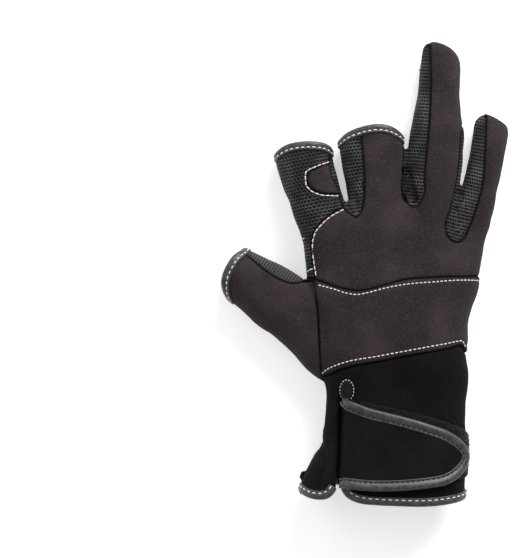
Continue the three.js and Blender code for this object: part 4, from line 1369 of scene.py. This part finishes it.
# Stitches round the oval patch stop where the strap covers it
RING_SPREAD = (0.2, 0.12)
RING_FOOT = 0.6
ring = [tuple(spot[k] + (spot[k] - SLIT_HEAD[k]) * RING_SPREAD[k] for k in (0, 1)) for spot in oval]
ring = [spot for spot in ring if spot[1] > RING_FOOT]
first = max(range(len(ring)), key=lambda i: math.dist(ring[i], ring[i - 1]))
ring_run = run_over(ring[first:] + ring[:first], pitch=1.75, length=1.1)
sew("patch_stitches", "foam_fabric", white_thread, [ring_run], thread=0.24)

palm_runs = [run_over(row, pitch=2.9, length=2.4, side=-1) for row in PALM_ROWS]
sew("palm_stitches", "mesh_fabric", white_thread, palm_runs, thread=0.26)
sew("strap_stitches", "binding", black_thread, [(strap_row, strap_row_ups, False, 2.7, 2.1)], thread=0.26)

# The elastic is held by a zigzag on the palm side of the wrist
ELASTIC = from_photo([(319, 464), (381.5, 451)])
ELASTIC_ZIGS = 14
ELASTIC_SWING = 1.3
zigzag = np.linspace(*ELASTIC, ELASTIC_ZIGS + 1)
zigzag[:, 1] += ELASTIC_SWING * (-1.0) ** np.arange(ELASTIC_ZIGS + 1)
zigs = [run_over(zigzag[i:i + 2], pitch=4.0, length=3.2, side=-1) for i in range(ELASTIC_ZIGS)]
sew("elastic_stitches", "mesh_fabric", black_thread, zigs, thread=0.22)

# The table and the light: a plain pale floor, a big soft light over it, and a camera straight
# above with a long lens.
VIEW_DISTANCE = 1600.0
PHOTO_WIDTH, PHOTO_HEIGHT = 512, 558
MEAN_HEIGHT = 16.0
bpy.ops.mesh.primitive_plane_add(size=6.0, location=(0, 0, 0))
floor = bpy.context.object
floor.name = "floor"
floor_paint = bpy.data.materials.new("floor_paint")
floor_paint.use_nodes = True
floor_look = {
    "Base Color": (0.92, 0.92, 0.92, 1), "Roughness": 0.8, "Emission Color": (1, 1, 1, 1),
    "Emission Strength": 0.5,
}
for socket, value in floor_look.items():
    floor_paint.node_tree.nodes["Principled BSDF"].inputs[socket].default_value = value
floor.data.materials.append(floor_paint)

camera = bpy.data.objects.new("camera", bpy.data.cameras.new("camera"))
bpy.context.collection.objects.link(camera)
bpy.context.scene.camera = camera
camera.data.sensor_width = 36.0
camera.data.lens = 36.0 * (VIEW_DISTANCE - MEAN_HEIGHT) / (PHOTO_HEIGHT * PHOTO_SCALE)
camera.location = (
    (WRIST[0] + (PHOTO_WIDTH / 2 - PHOTO_WRIST[0]) * PHOTO_SCALE) / 1000,
    (WRIST[1] + (PHOTO_WRIST[1] - PHOTO_HEIGHT / 2) * PHOTO_SCALE) / 1000,
    VIEW_DISTANCE / 1000,
)
world = bpy.data.worlds.new("world")
bpy.context.scene.world = world
world.use_nodes = True
world.node_tree.nodes["Background"].inputs["Color"].default_value = (1, 1, 1, 1)
world.node_tree.nodes["Background"].inputs["Strength"].default_value = 0.45


def soft_light(name, place, size, power):
    """A square soft light that faces the glove."""
    bpy.ops.object.light_add(type="AREA", location=place)
    light = bpy.context.object
    light.name = name
    light.data.shape = "SQUARE"
    light.data.size = size
    light.data.energy = power
    light.rotation_euler = (-Vector(place)).to_track_quat("-Z", "Y").to_euler()


soft_light("top_light", (0.55, 1.1, 0.75), 0.9, 24.0)
soft_light("side_light", (-0.9, 0.5, 0.8), 0.8, 3.0)
bpy.context.scene.view_settings.view_transform = "Standard"
